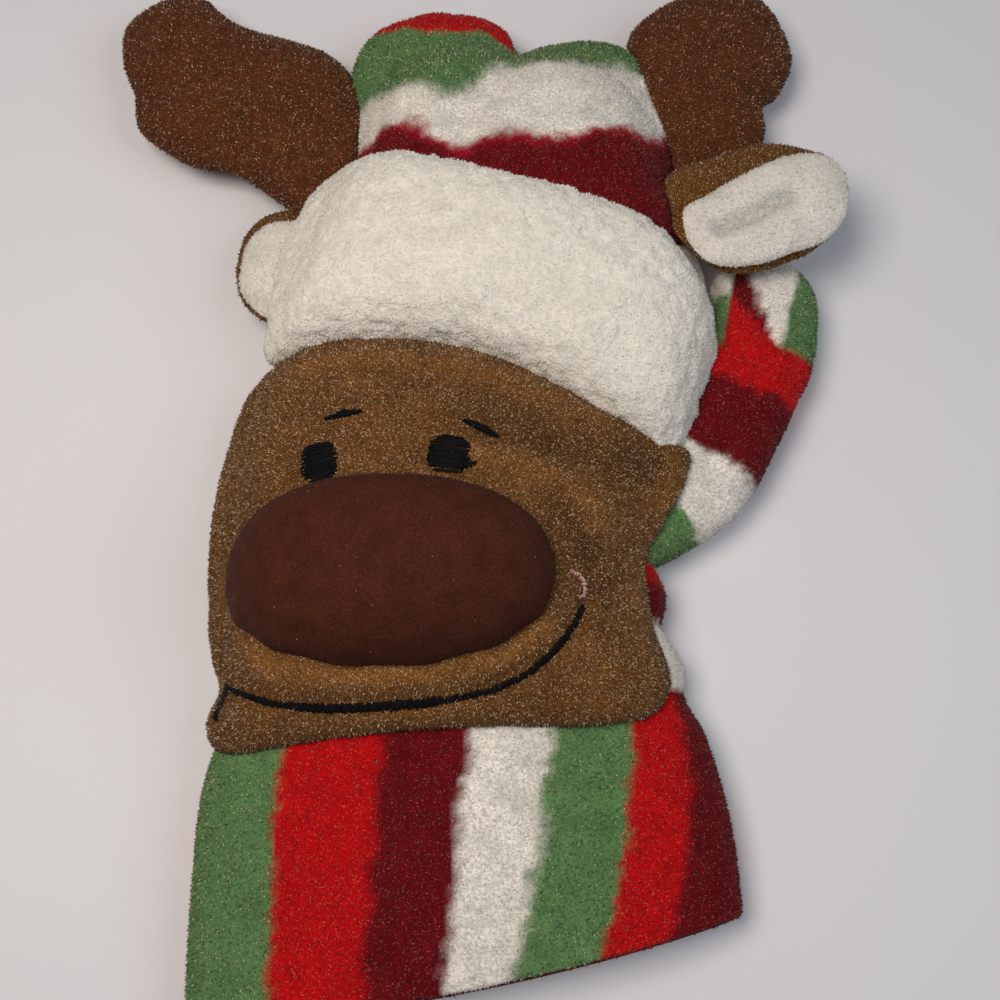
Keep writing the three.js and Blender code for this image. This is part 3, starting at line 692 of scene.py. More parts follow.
@dataclass(frozen=True)
class Pile:
    """Short tufts that stand on a cloth: closed spikes of four faces, leaning at random.

    Lengths and widths are in millimetres, and the density is tufts to the square millimetre.
    """

    density: float
    length: float
    width: float
    lean: float = 0.9
    nap: tuple[float, float, float] = (0.0, -0.2, 0.0)
    root_shade: float = 0.62
    tip_painted_light: float = 1.28
    painted_glint_tuft_share: float = 0.2
    unevenness: float = 0.45
    brightest: float = 0.95

    def grow(self, skin: Skin, seed: int, keep: Array | None = None) -> Tufts:
        """Plants the tufts over a skin at random, evenly for its area.

        Args:
            skin: The cloth.
            seed: Chooses the places and the leans.
            keep: Shares of the density for each of the skin's points, or none for all of it.

        Returns:
            The tufts' points, their dye and their faces.
        """
        rng = np.random.default_rng(seed)
        turned = np.roll(skin.points, -1, 1)
        first, second, third, fourth = skin.points[:-1], turned[:-1], turned[1:], skin.points[1:]
        area = np.linalg.norm(np.cross(third - first, fourth - second), axis=2) / 2
        if keep is not None:
            area = area * keep[:-1]
        flat = area.ravel()
        count = rng.poisson(flat * self.density)
        face = np.repeat(np.arange(flat.size), count)
        u, v = rng.random((2, face.size, 1))
        weights = [(1 - u) * (1 - v), u * (1 - v), u * v, (1 - u) * v]

        def over(grid: Array) -> Array:
            """Values of a grid at the tufts' places, blended from the corners of their faces.

            Args:
                grid: Values at the skin's points, three to each.

            Returns:
                Three values for each tuft.
            """
            rolled = np.roll(grid, -1, 1)
            parts = [grid[:-1], rolled[:-1], rolled[1:], grid[1:]]
            return sum(w * part.reshape(-1, 3)[face] for w, part in zip(weights, parts))

        root, normal, dye = over(skin.points), over(skin.normals()), over(skin.dye)
        normal /= np.maximum(np.linalg.norm(normal, axis=1), 1e-6)[:, None]
        aside = np.cross(normal, rng.normal(size=normal.shape))
        aside /= np.maximum(np.linalg.norm(aside, axis=1), 1e-6)[:, None]
        other = np.cross(normal, aside)
        size = rng.uniform(0.6, 1.25, (face.size, 1))
        way = normal + self.lean * rng.uniform(0.2, 1, (face.size, 1)) * aside + np.array(self.nap)
        tip = root + way / np.linalg.norm(way, axis=1)[:, None] * self.length * size
        angles = np.array([0, 2, 4]) * math.pi / 3
        ring = [
            root - 0.2 * normal + self.width / 2 * size * (math.cos(a) * aside + math.sin(a) * other)
            for a in angles
        ]
        points = np.stack([*ring, tip], axis=1).reshape(-1, 3)
        low, high = self.shades(dye, rng)
        colours = np.stack([low, low, low, high], axis=1).reshape(-1, 3)
        base = 4 * np.arange(face.size)[:, None, None]
        faces = base + np.array([[0, 1, 3], [1, 2, 3], [2, 0, 3], [0, 2, 1]])[None]
        return points, colours, faces.reshape(-1, 3)

    def shades(self, dye: Array, rng: np.random.Generator) -> tuple[Array, Array]:
        """The dye of each tuft at its root and its tip: uneven, painted darker at the root as shade deep in
        the pile, painted lighter at the tip as light on it, and painted as a glint of light in a few.

        A glinting tuft mixes pale gold with its dye, or with little but its dye where that is red.

        Args:
            dye: The cloth's dye under each tuft.
            rng: Draws the unevenness and chooses the tufts painted as glints.

        Returns:
            The colours at the roots and at the tips.
        """
        count = (len(dye), 1)
        paleness = dye.mean(axis=1, keepdims=True)
        uneven = rng.normal(0, self.unevenness, count).clip(-0.9, 0.9)
        shade = 1 + uneven * (1 - 0.85 * paleness)
        redness = np.clip(1 - 4 * dye[:, 1:2] / np.maximum(dye[:, :1], 0.01), 0, 1)
        glinting_tuft = rng.random(count) < self.painted_glint_tuft_share
        strength = rng.uniform(0.6, 1.6, count)
        gold = np.array([0.52, 0.4, 0.24]) * (1 - 0.8 * redness)
        painted_glint = np.maximum(strength * (gold + (0.6 + 0.6 * redness) * dye), dye)
        # Painted shade darkens the roots and painted light brightens the tips
        root = dye * (self.root_shade + (0.97 - self.root_shade) * paleness) * shade
        tip = dye * (self.tip_painted_light - 0.1 * paleness) * shade
        # Painted glints: the chosen tufts take the glint colour, a little darker at the root
        low = np.where(glinting_tuft, 0.7 * painted_glint, root).clip(0, self.brightest)
        high = np.where(glinting_tuft, painted_glint, tip).clip(0, self.brightest)
        return low, high


FLEECE_PILE = Pile(density=2.4, length=0.65, width=0.58)
CROWN_PILE = Pile(density=2.5, length=0.7, width=0.58)
FACE_PILE = Pile(density=2.6, length=0.65, width=0.55, painted_glint_tuft_share=0.28)
NOSE_PILE = Pile(density=2.0, length=0.3, width=0.45, painted_glint_tuft_share=0.004, root_shade=0.9, tip_painted_light=1.05)
BRIM_PILE = Pile(density=2.2, length=0.55, width=0.7, lean=0.7, root_shade=0.95, painted_glint_tuft_share=0)
TRIM_PILE = Pile(density=2.6, length=0.65, width=0.55, painted_glint_tuft_share=0.17)
LINING_PILE = Pile(density=2.6, length=0.65, width=0.55, painted_glint_tuft_share=0)


class Cloth(Enum):
    """The cloths of the mitten, each with its finish."""

    FLEECE = Finish("striped_fleece_cloth", grain=0.8, contrast=0.25, painted_glint=0.2, sheen=0.08)
    PLUSH = Finish("tan_plush_cloth", grain=0.75, contrast=0.4, painted_glint=0.4, painted_glint_share=0.62)
    CREAM = Finish("cream_plush_cloth", grain=1.3, contrast=0.1, mottling=0.07, painted_glint=0.1, relief=0.5)
    ANTLER = Finish("antler_plush_cloth", grain=0.7, contrast=0.4, painted_glint=0.35)
    VELOUR = Finish(
        "nose_velour_cloth", grain=0.5, contrast=0.35, mottling=0.2, painted_glint=0.05, sheen=0.0)


@dataclass
class Wardrobe:
    """Makes pieces from skins, dresses them and reports them."""

    materials: dict[str, bpy.types.Material] = field(default_factory=dict)
    total: int = 0

    def wear(self, piece: bpy.types.Object, finish: Finish | Strands) -> bpy.types.Object:
        """Gives a piece its material and its slot, and lets it ride on the mitten.

        Args:
            piece: The object.
            finish: Its finish.

        Returns:
            The piece.
        """
        if finish.name not in self.materials:
            self.materials[finish.name] = finish.material()
        piece.data.materials.append(self.materials[finish.name])
        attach(piece, "root")
        count = sum(len(face.vertices) - 2 for face in piece.data.polygons)
        self.total += count
        log.info("%s: %d triangles", piece.name, count)
        return piece

    def cloth(
        self,
        name: str,
        skin: Skin,
        cloth: Cloth,
        slot: str,
        stands_for: str,
        without: Sequence[Skin] = (),
    ) -> bpy.types.Object:
        """Makes a cloth piece from a skin.

        Args:
            name: The piece's name.
            skin: Its surface.
            cloth: Its cloth.
            slot: The record's material slot, which is not used here.
            stands_for: The node that it replaces.
            without: Closed skins that are cut out of it.

        Returns:
            The piece.
        """
        points, dye, quads, triangles = skin.faces()
        piece = mesh_object(name, points, dye, [quads, triangles])
        if without:
            cut(piece, without)
        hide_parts(stands_for)
        return self.wear(piece, cloth.value)

    def pile(self, name: str, tufts: Tufts, slot: str) -> bpy.types.Object:
        """Makes one piece of pile from tufts.

        Args:
            name: The piece's name.
            tufts: Their points, dye and faces.
            slot: The record's material slot.

        Returns:
            The piece.
        """
        points, dye, faces = tufts
        piece = mesh_object(name, points, dye, [faces])
        return self.wear(piece, Strands("pile_of_" + slot))


def plain(points: Array, yarn: Yarn) -> Array:
    """One yarn's dye for every point of a grid."""
    return np.broadcast_to(yarn.linear, (*points.shape[:-1], 3)).copy()


RAGGED = ((1.3, 7), (0.8, 2.2), (0.5, 1.1))


def striped(
    points: Array,
    at: Array,
    bounds: Sequence[Array | float],
    yarns: Sequence[Yarn],
    soft: Sequence[float],
) -> Array:
    """Printed stripes: each yarn gives way to the next over a soft, ragged edge.

    Args:
        points: Places in millimetres, which move the edges by noise.
        at: Where each point lies across the stripes, in millimetres.
        bounds: Where each stripe ends, in rising order.
        yarns: The stripes' yarns, one more than the bounds.
        soft: How wide each edge is.

    Returns:
        The dye of each point.
    """
    ragged = lumps(points, RAGGED, 11)
    dye = plain(points, yarns[0])
    for bound, yarn, width in zip(bounds, yarns[1:], soft):
        share = smooth_step((at + ragged * min(width, 3) / 2 - bound) / width + 0.5)[..., None]
        dye = dye * (1 - share) + yarn.linear * share
    return dye


CUFF_YARNS = (Yarn.GREEN, Yarn.RED, Yarn.DARK_RED, Yarn.WHITE, Yarn.GREEN, Yarn.RED, Yarn.DARK_RED)
CUFF_AT_FACE = (-0.68, -0.3, 0.04, 0.35, 0.68, 0.9)
CUFF_AT_MOUTH = (-0.68, -0.35, -0.06, 0.18, 0.47, 0.72)
CUFF_SOFT = (2.5, 4.5, 3.5, 4.5, 3.0, 4.0)
FACE_ALONG = 0.22
PALM_BOUNDS = (20, 43, 67, 84, 96, 104, 114, 128, 146, 158, 175, 192, 214, 236)
PALM_SOFT = (2.5,) * len(PALM_BOUNDS)
PALM_YARNS = (
    Yarn.DARK_RED, Yarn.RED, Yarn.GREEN, Yarn.WHITE, Yarn.DARK_RED, Yarn.RED, Yarn.GREEN, Yarn.WHITE,
    Yarn.DARK_RED, Yarn.RED, Yarn.GREEN, Yarn.WHITE, Yarn.DARK_RED, Yarn.RED, Yarn.GREEN,
)


def back_dye(points: Array) -> Array:
    """The stripes along the back of the hand: their edges run straight from the mouth to the face.

    Args:
        points: Places on the hand.

    Returns:
        Their dye.
    """
    x, y = points[..., 0], points[..., 1]
    middle, half, _, _ = HAND.row(np.clip(y / HAND.length, 0, 1))
    way = np.clip(y / HAND.length / FACE_ALONG, -0.2, 1.6)
    bounds = [middle + half * (a + (b - a) * way) for a, b in zip(CUFF_AT_MOUTH, CUFF_AT_FACE)]
    return striped(points, x, bounds, CUFF_YARNS, CUFF_SOFT)


def palm_dye(points: Array) -> Array:
    """The stripes across the palm."""
    return striped(points, points[..., 1], PALM_BOUNDS, PALM_YARNS, PALM_SOFT)


@dataclass
class Shell:
    """The hollow hand of striped fleece, with its lining and its side seams.

    Over and under are the powers that round its section above and below the seams. The lip is how much
    further the palm reaches at the mouth than the back does.
    """

    rings: int = 120
    sides: int = 184
    tip_rings: int = 26
    closed_at: float = 0.9995
    hem_rings: int = 9
    lining_rings: int = 40
    lining_until: float = 0.88
    lining_tip: tuple[float, ...] = (0.92, 0.95, 0.975, 0.9995)
    over: float = 0.8
    under: float = 0.56
    rest: float = 1.0
    hem: float = 1.5
    lip: float = 2.2
    back_until: float = 68.0
    table_clear: float = 2.5
    puffs: Layers = ((0.5, 22), (0.25, 6))
    puff_lift: float = 0.8
    seam_reach: float = 1.6
    seam_depth: float = 0.7
    seam_wave: float = 0.25
    gather_lift: float = 1.0
    rib_height: float = 0.9
    wrinkles: Layers = ((0.35, 5),)
    wrinkle_way: tuple[float, float, float] = (0.3, 0.2, 1.0)
    lining_sag: float = 0.6
    lining_shade: float = 0.8
    hem_shade: float = 0.85
    lining_dyed_rings: int = 6
    rib_wave: float = 1.15
    rib_wander: float = 0.21
    core_tip: tuple[float, ...] = (0.94, 0.97, 0.995)
    cuff_pile_until: float = 0.25
    side_pile: float = 0.8
    side_pile_from: float = 0.9
    side_pile_until: float = 0.9
    palm_pile: float = 0.22
    least_pile: float = 0.01
    palm_clear: float = 1.2

    def angles(self) -> Array:
        """Angles round the section that give even steps of cloth.

        Returns:
            The angles, read off the length round the middle section.
        """
        dense = np.linspace(0, 2 * math.pi, 4001)
        ring = self.section(np.array([0.5]), dense, 0.0)[0]
        length = np.concatenate([[0], np.cumsum(np.linalg.norm(np.diff(ring, axis=0), axis=1))])
        return np.interp(np.linspace(0, length[-1], self.sides, endpoint=False), length, dense)

    def section(self, along: Array, angle: Array, inset: float) -> Array:
        """Rings of the hand.

        Over the seams, the width follows the cosine to one power and the height the sine to the same; under
        them both use a lower power, and the table flattens what would reach below it.

        Args:
            along: Shares of the length, one for each ring.
            angle: Angles, one for each point of a ring.
            inset: How far inside the outer skin the rings lie.

        Returns:
            The grid of points.
        """
        middle, half, top, narrow = (part[:, None] for part in HAND.row(along))
        sine, cosine = np.sin(angle)[None], np.cos(angle)[None]
        above = sine >= 0
        across = np.where(above, power(cosine, self.over), power(cosine, self.under))
        slant = (1 - np.minimum(along / HAND.slant_until, 1))[:, None] ** 2
        mouth = (HAND.mouth_slant * across + HAND.mouth_curve * (across**2 - 1)) * slant
        rise = (top - inset - HAND.seam) * np.sqrt(narrow) * np.abs(sine) ** self.over
        fall = (HAND.seam + self.rest) * np.sqrt(narrow) * np.abs(sine) ** self.under
        gather = HAND.elastic_at(along)[:, None]
        x = middle + (half - inset) * narrow * across
        # The gathered cloth stands off the table in ribs, a wave whose length wanders
        rib = 0.5 + 0.5 * np.sin(x * self.rib_wave + 2 * np.sin(x * self.rib_wander))
        floor = inset + (self.gather_lift * gather if inset > 0 else self.rib_height * gather * rib)
        z = np.where(above, HAND.seam + rise, np.maximum(HAND.seam - fall, floor))
        mouth -= np.where(above, 0, self.lip * np.abs(sine) ** 0.5) * slant
        y = along[:, None] * (HAND.length - inset) + mouth
        return np.stack([np.broadcast_to(x, z.shape), np.broadcast_to(y, z.shape), z], axis=-1)

    def skin(self) -> Skin:
        """The skin in one grid: outside to the mouth, round the hem, and back inside to the fingertips.

        Returns:
            The skin with its dye: back stripes over the seams, palm stripes under them, a plain lining.
        """
        angle = self.angles()
        turn = np.linspace(0, math.pi / 2, self.tip_rings)[1:-1]
        tips = HAND.tip_round_from + (1 - HAND.tip_round_from) * np.sin(turn)
        body = np.linspace(0, HAND.tip_round_from, self.rings)
        outer_at = np.concatenate([body, tips, [self.closed_at]])
        outside = self.section(outer_at, angle, 0.0)
        puff = lumps(outside, self.puffs, 3)
        lifted = np.where(outside[..., 2] > self.table_clear, puff, 0)
        seam = np.exp(-(((outside[..., 2] - HAND.seam) / self.seam_reach) ** 2))
        depth = self.seam_depth + self.seam_wave * noise(outside, 3, 5)
        inward = np.sign(np.cos(angle))[None] * seam * depth
        outside[..., 2] += lifted * self.puff_lift
        outside[..., 0] -= inward
        inner_at = np.concatenate([np.linspace(0, self.lining_until, self.lining_rings), self.lining_tip])
        inside = self.section(inner_at, angle, HAND.wall)
        inside += lumps(inside, self.wrinkles, 6)[..., None] * np.array(self.wrinkle_way)
        inside[..., 2] = np.maximum(inside[..., 2], HAND.wall - self.lining_sag)
        turn = np.linspace(0, math.pi, self.hem_rings)[1:-1, None, None]
        roll = outside[:1] * (1 + np.cos(turn)) / 2 + inside[:1] * (1 - np.cos(turn)) / 2
        roll[..., 1] -= self.hem * np.sin(turn[..., 0])
        upper = (np.sin(angle)[None] >= 0) & (outside[..., 1] < self.back_until)
        outside_dye = np.where(upper[..., None], back_dye(outside), palm_dye(outside))
        roll_dye = np.broadcast_to(outside_dye[:1], roll.shape)
        lining_dye = plain(inside, Yarn.WHITE) * self.lining_shade
        lining_dye[: self.lining_dyed_rings] = outside_dye[:1] * self.hem_shade
        points = np.concatenate([outside[::-1], roll, inside])
        dye = np.concatenate([outside_dye[::-1], roll_dye, lining_dye])
        return Skin(points, dye)

    def core(self) -> Skin:
        """A closed skin halfway into the cloth, where the thumb ends.

        Returns:
            The skin.
        """
        at = np.concatenate([np.linspace(0, 0.9, 60), self.core_tip])
        points = self.section(at, np.linspace(0, 2 * math.pi, 96, endpoint=False), HAND.wall / 2)
        return Skin(points, plain(points, Yarn.WHITE))

    def make(self, wardrobe: Wardrobe, thumb: "Thumb") -> None:
        """Makes the hand's cloth and its pile.

        Args:
            wardrobe: Dresses the piece.
            thumb: Opens into the hand.
        """
        skin = self.skin()
        piece = wardrobe.cloth(
            "hand_cloth", skin, Cloth.FLEECE, "striped_fleece", "mitten_shell", [thumb.hollow()])
        outside = len(skin.points) - self.lining_rings - len(self.lining_tip)
        shown = np.zeros(skin.points.shape[:2])
        x, y, z = (skin.points[..., k] for k in range(3))
        across, along = HAND.shares(x, y)
        # Pile stands on the cuff, less along the sides and thinly on the palm, and not under the pads
        cuff = smooth_step((self.cuff_pile_until - along) / 0.02)
        beside = smooth_step((np.abs(across) - self.side_pile_from) / 0.05)
        side = self.side_pile * beside * smooth_step((self.side_pile_until - along) / 0.1)
        over = z > HAND.seam - 2
        under = self.palm_pile * (z > self.palm_clear) + self.least_pile
        shown[:outside] = np.where(over, np.maximum(cuff, side), under)[:outside]
        wardrobe.pile("hand_pile", FLEECE_PILE.grow(skin, 21, shown), "striped_fleece")


@dataclass
class Thumb:
    """The thumb of the striped palm cloth, with its folded tip.

    Its lines and where they start are in millimetres on the plan, and the fan's ends in degrees round the
    notch.
    """

    rings: int = 110
    sides: int = 84
    tip_rings: int = 18
    closed_at: float = 0.999
    hollow_rings: int = 50
    hollow_sides: int = 48
    squareness: float = 0.8
    stripe_ends: tuple[float, ...] = (0.19, 0.31, 0.44, 0.63)
    stripe_soft: tuple[float, ...] = (2.5, 2.5, 2.5, 3.0)
    flap_line: tuple[tuple[float, float], ...] = (
        (66, 184), (74.5, 176.2), (85, 162.6), (94.5, 159.3), (102, 158),
    )
    flap_soft: float = 1.6
    notch: tuple[float, float] = (85, 158)
    fan_step: float = 0.35
    fan_ends: tuple[float, float] = (-104, -76)
    fan_soft: tuple[float, float] = (2.0, 2.0)
    fold_reach: float = 1.8
    fold_depth: float = 1.8
    fold_above: float = 12
    side_from: float = 161
    side_end: float = 178
    side_soft: float = 4.0
    side_line: tuple[tuple[float, float], ...] = ((68.5, 158), (74.6, 188))
    tuck: tuple[tuple[float, float], ...] = ((69.8, 162), (74.9, 188))
    tuck_reach: float = 1.3
    tuck_depth: float = 1.2
    tuck_above: float = 6
    table_clear: float = 2
    puffs: Layers = ((0.5, 14), (0.25, 5))
    lining_shade: float = 0.8
    pile_from: float = 0.9
    upper_pile_above: float = 8
    underside_pile: float = 0.35

    def hollow(self) -> Skin:
        """The closed skin of the space inside the thumb."""
        points, _ = self.points(HAND.wall, self.hollow_rings, self.hollow_sides)
        return Skin(points, plain(points, Yarn.WHITE) * self.lining_shade)

    def points(self, inset: float, rings: int, sides: int) -> tuple[Array, Array]:
        """Rings square to the thumb's line, each a rounded square in section.

        Args:
            inset: How far inside the outer skin the rings lie.
            rings: How many rings there are up to the rounding of the tip.
            sides: How many points there are in a ring.

        Returns:
            The grid, from the root to the tip, and the share along the thumb of each ring.
        """
        turn = np.linspace(0, math.pi / 2, self.tip_rings)[1:-1]
        tips = THUMB.round_from + (1 - THUMB.round_from) * np.sin(turn)
        at = np.concatenate([np.linspace(0, THUMB.round_from, rings), tips, [self.closed_at]])
        at = at * (1 - inset / THUMB.length)
        angle = np.linspace(0, 2 * math.pi, sides, endpoint=False)[None]
        centre, ahead = THUMB.centre(at), THUMB.ahead(at)
        full = at / (1 - inset / THUMB.length)
        tip = THUMB.tip(full)
        right = ((THUMB.rows.read("right", at) * THUMB.width / 2 - inset) * tip)[:, None]
        left = ((THUMB.rows.read("left", at) * THUMB.width / 2 - inset) * tip)[:, None]
        rise = ((THUMB.rows.read("thick", at) * THUMB.thickness / 2 - inset) * np.sqrt(tip))[:, None]
        across = np.where(np.cos(angle) >= 0, right, left) * power(np.cos(angle), self.squareness)
        z = THUMB.lift + THUMB.thickness / 2 + rise * power(np.sin(angle), self.squareness)
        x = centre[:, :1] + ahead[:, 1:] * across
        y = centre[:, 1:] - ahead[:, :1] * across
        return np.stack([x, y, np.broadcast_to(z, x.shape)], axis=-1), at

    def dye(self, points: Array, at: Array) -> Array:
        """The thumb's stripes: square to its line, with a folded flap and a strip of the hand's side.

        The flap's stripes fan from a notch at the tip. The strip runs up the thumb's left flank.

        Args:
            points: The thumb's grid.
            at: The share along the thumb of each ring.

        Returns:
            The dye of each point.
        """
        along = np.broadcast_to(at[:, None] * THUMB.length, points.shape[:2])
        bounds = [share * THUMB.length for share in self.stripe_ends]
        yarns = (Yarn.RED, Yarn.GREEN, Yarn.WHITE, Yarn.DARK_RED, Yarn.RED)
        dye = striped(points, along, bounds, yarns, self.stripe_soft)
        x, y = points[..., 0], points[..., 1]
        flap = smooth_step((y - self.crease(x)) / self.flap_soft + 0.5)[..., None]
        turn = np.degrees(np.arctan2(y - self.notch[1], x - self.notch[0]))
        ends = [end * self.fan_step for end in self.fan_ends]
        yarns = (Yarn.DARK_RED, Yarn.WHITE, Yarn.GREEN)
        fan = striped(points, -turn * self.fan_step, ends, yarns, self.fan_soft)
        dye = dye * (1 - flap) + fan * flap
        edge_x, edge_y = zip(*self.side_line)
        left = smooth_step((np.interp(y, edge_y, edge_x) - x) / 1.5 + 0.5)
        beside = (left * smooth_step((y - self.side_from) / self.side_soft))[..., None]
        side = striped(points, y, [self.side_end], (Yarn.GREEN, Yarn.WHITE), [self.side_soft])
        return dye * (1 - beside) + side * beside

    def crease(self, x: Array) -> Array:
        """Where the flap's fold lies along the plan: from the left down to a notch, and on nearly level."""
        places_x, places_y = zip(*self.flap_line)
        return np.interp(x, places_x, places_y)

    def make(self, wardrobe: Wardrobe, shell: Shell) -> None:
        """Makes the thumb's cloth and its pile.

        Args:
            wardrobe: Dresses the piece.
            shell: The hand that the thumb ends in.
        """
        points, at = self.points(0.0, self.rings, self.sides)
        x, y, z = (points[..., k] for k in range(3))
        fold = np.exp(-(((y - self.crease(x)) / self.fold_reach) ** 2)) * (z > self.fold_above)
        tuck = valley(x, y, np.array(self.tuck), self.tuck_reach) * (z > self.tuck_above)
        sunk = np.maximum(self.fold_depth * fold, self.tuck_depth * tuck)
        skin = Skin(points, self.dye(points, at))
        skin = skin.raised(np.where(z > self.table_clear, lumps(points, self.puffs, 31) - sunk, 0))
        across, _ = HAND.shares(x, y)
        outside = smooth_step((across - self.pile_from) / 0.05)
        keep = outside * np.where(z > self.upper_pile_above, 1, self.underside_pile)
        piece = wardrobe.cloth(
            "thumb_cloth", skin, Cloth.FLEECE, "striped_fleece", "thumb", [shell.core(), self.hollow()])
        wardrobe.pile("thumb_pile", FLEECE_PILE.grow(skin, 33, keep), "striped_fleece")


def soft_join(first: Array, second: Array, reach: float) -> Array:
    """The higher of two heights, joined smoothly within a reach."""
    return np.logaddexp(first / reach, second / reach) * reach


def lofted(
    ground: Array, loft: Array | float, share: Array, fullness: float = 3.4, roundness: float = 2
) -> Array:
    """The height of a pad: the ground's, its rim's, and a dome of what is left of its loft.

    Args:
        ground: The height of what it lies on.
        loft: How high it stands over that in its middle.
        share: The way from its middle to its rim.
        fullness: How far out the dome stays high.
        roundness: How upright it is at its rim.

    Returns:
        The heights.
    """
    return ground + EDGE + (loft - EDGE) * dome(share, fullness, roundness)


def over_hand(x: Array, y: Array, reach: float = 6.0, drop: float = 1.2) -> Array:
    """The height of the hand's back, smoothed over a reach, as stuffing bridges its edges.

    It is the mean of eight places round the point and twice the point's own. Where the back stands higher,
    it stays a drop under the back.

    Args:
        x: Places across the plan.
        y: Places along the plan.
        reach: How far the places round the point lie from it.
        drop: How far under the back it stays.

    Returns:
        The heights.
    """
    turns = np.arange(8) * math.pi / 4
    around = sum(HAND.top(x + reach * math.cos(a), y + reach * math.sin(a)) for a in turns)
    return soft_join((around + 2 * HAND.top(x, y)) / 10, HAND.top(x, y) - drop, 0.8)


def over_thumb(x: Array, y: Array) -> Array:
    """The height of the hand's back or the thumb's, whichever is higher, with a soft join."""
    return soft_join(over_hand(x, y), THUMB.top(x, y), 1.5)


def under_pad(x: Array, y: Array, share: Array) -> Array:
    """A pad's underside: just over the hand, and below the seam outside its outline.

    Args:
        x: Places across the plan.
        y: Places along the plan.
        share: The way from the pad's middle to its rim.

    Returns:
        The heights.
    """
    across, along = HAND.shares(x, y)
    past_side = smooth_step((np.abs(across) - 0.98) / 0.06)
    past_tip = smooth_step((along - 0.99) / 0.02)
    outside = np.maximum(past_side, past_tip)
    return HAND.top(x, y) + SEAT - (SINK + SEAT) * outside * dome(share, 6, 2)


@dataclass
class Pad:
    """A padded shape: rings drawn in from an outline to its middle, above and below.

    Crowding draws the rings of the upper side to the rim, and thinning is how many of them stand for one
    underneath. Steps and step say how a neighbour's points are moved out of the way.
    """

    outline: Outline
    top: Height
    bottom: Height
    sides: int = 240
    rings: int = 60
    innermost: float = 0.03
    crowding: float = 0.9
    thinning: int = 3
    steps: int = 60
    step: float = 0.02

    def grid(self) -> Array:
        """The grid from the middle of the upper side, over the rim, to the middle of the underside.

        Returns:
            The points, with the rings along the first axis.
        """
        line = closed_line(self.outline.places, self.sides) - self.outline.middle
        way = np.linspace(self.innermost, 1, self.rings)
        upper = np.sin(way * math.pi / 2) ** self.crowding
        shares = np.concatenate([upper, upper[:: -self.thinning]])[:, None]
        x = self.outline.middle[0] + line[None, :, 0] * shares
        y = self.outline.middle[1] + line[None, :, 1] * shares
        share = np.broadcast_to(shares, x.shape)
        z = self.top(x, y, share)
        z[self.rings :] = self.bottom(x, y, share)[self.rings :]
        return np.stack([x, y, z], axis=-1)

    def upper_side(self) -> Array:
        """Ones for the grid's points on the upper side and noughts for those on the underside.

        Returns:
            The ones and noughts, by ring and side.
        """
        side = np.zeros((self.rings + math.ceil(self.rings / self.thinning), self.sides))
        side[: self.rings] = 1
        return side

    def clear(self, points: Array, gap: float) -> Array:
        """Moves points that lie in this pad out of it, away from its middle.

        Args:
            points: A grid of places.
            gap: How far they stay off its surface.

        Returns:
            The moved points.
        """
        moved = points.copy()
        for _ in range(self.steps):
            x, y, z = (moved[..., k] for k in range(3))
            share = self.outline.share(x, y)
            inside = (share < 1.0) & (z < self.top(x, y, share) + gap)
            if not inside.any():
                break
            growth = np.where(inside, 1 + self.step / np.maximum(share, 0.2), 1)
            moved[..., 0] = self.outline.middle[0] + (x - self.outline.middle[0]) * growth
            moved[..., 1] = self.outline.middle[1] + (y - self.outline.middle[1]) * growth
        return moved


def valley(x: Array, y: Array, line: Array, reach: float) -> Array:
    """How deep points lie in a valley along a line: a bell over the distance to it.

    Args:
        x: Places across the plan.
        y: Places along the plan.
        line: The line's points, one a row.
        reach: The valley's half width.

    Returns:
        Shares of the valley's depth.
    """
    nearest = np.full(np.shape(x), np.inf)
    for start, end in zip(line[:-1], line[1:]):
        way = end - start
        t = np.clip(((x - start[0]) * way[0] + (y - start[1]) * way[1]) / (way @ way), 0, 1)
        nearest = np.minimum(nearest, np.hypot(x - start[0] - t * way[0], y - start[1] - t * way[1]))
    return np.exp(-((nearest / reach) ** 2))


@dataclass(frozen=True)
class Fold:
    """A soft fold in a padded panel, in millimetres: above zero it stands up, below it sinks."""

    line: tuple[tuple[float, float], ...]
    reach: float
    rise: float

    def at(self, x: Array, y: Array) -> Array:
        """How far the fold raises the panel over points in plan."""
        return self.rise * valley(x, y, np.array(self.line), self.reach)


SMILE_LINE = (
    (-60.5, 67.5), (-52.8, 64.2), (-44.6, 62.2), (-32.4, 61.3), (-20.4, 61.8), (-8.2, 62.8),
    (4.1, 65.0), (12.2, 67.8), (18.9, 72.3), (23.9, 77.3), (27.1, 82.3), (29.5, 87.1),
)


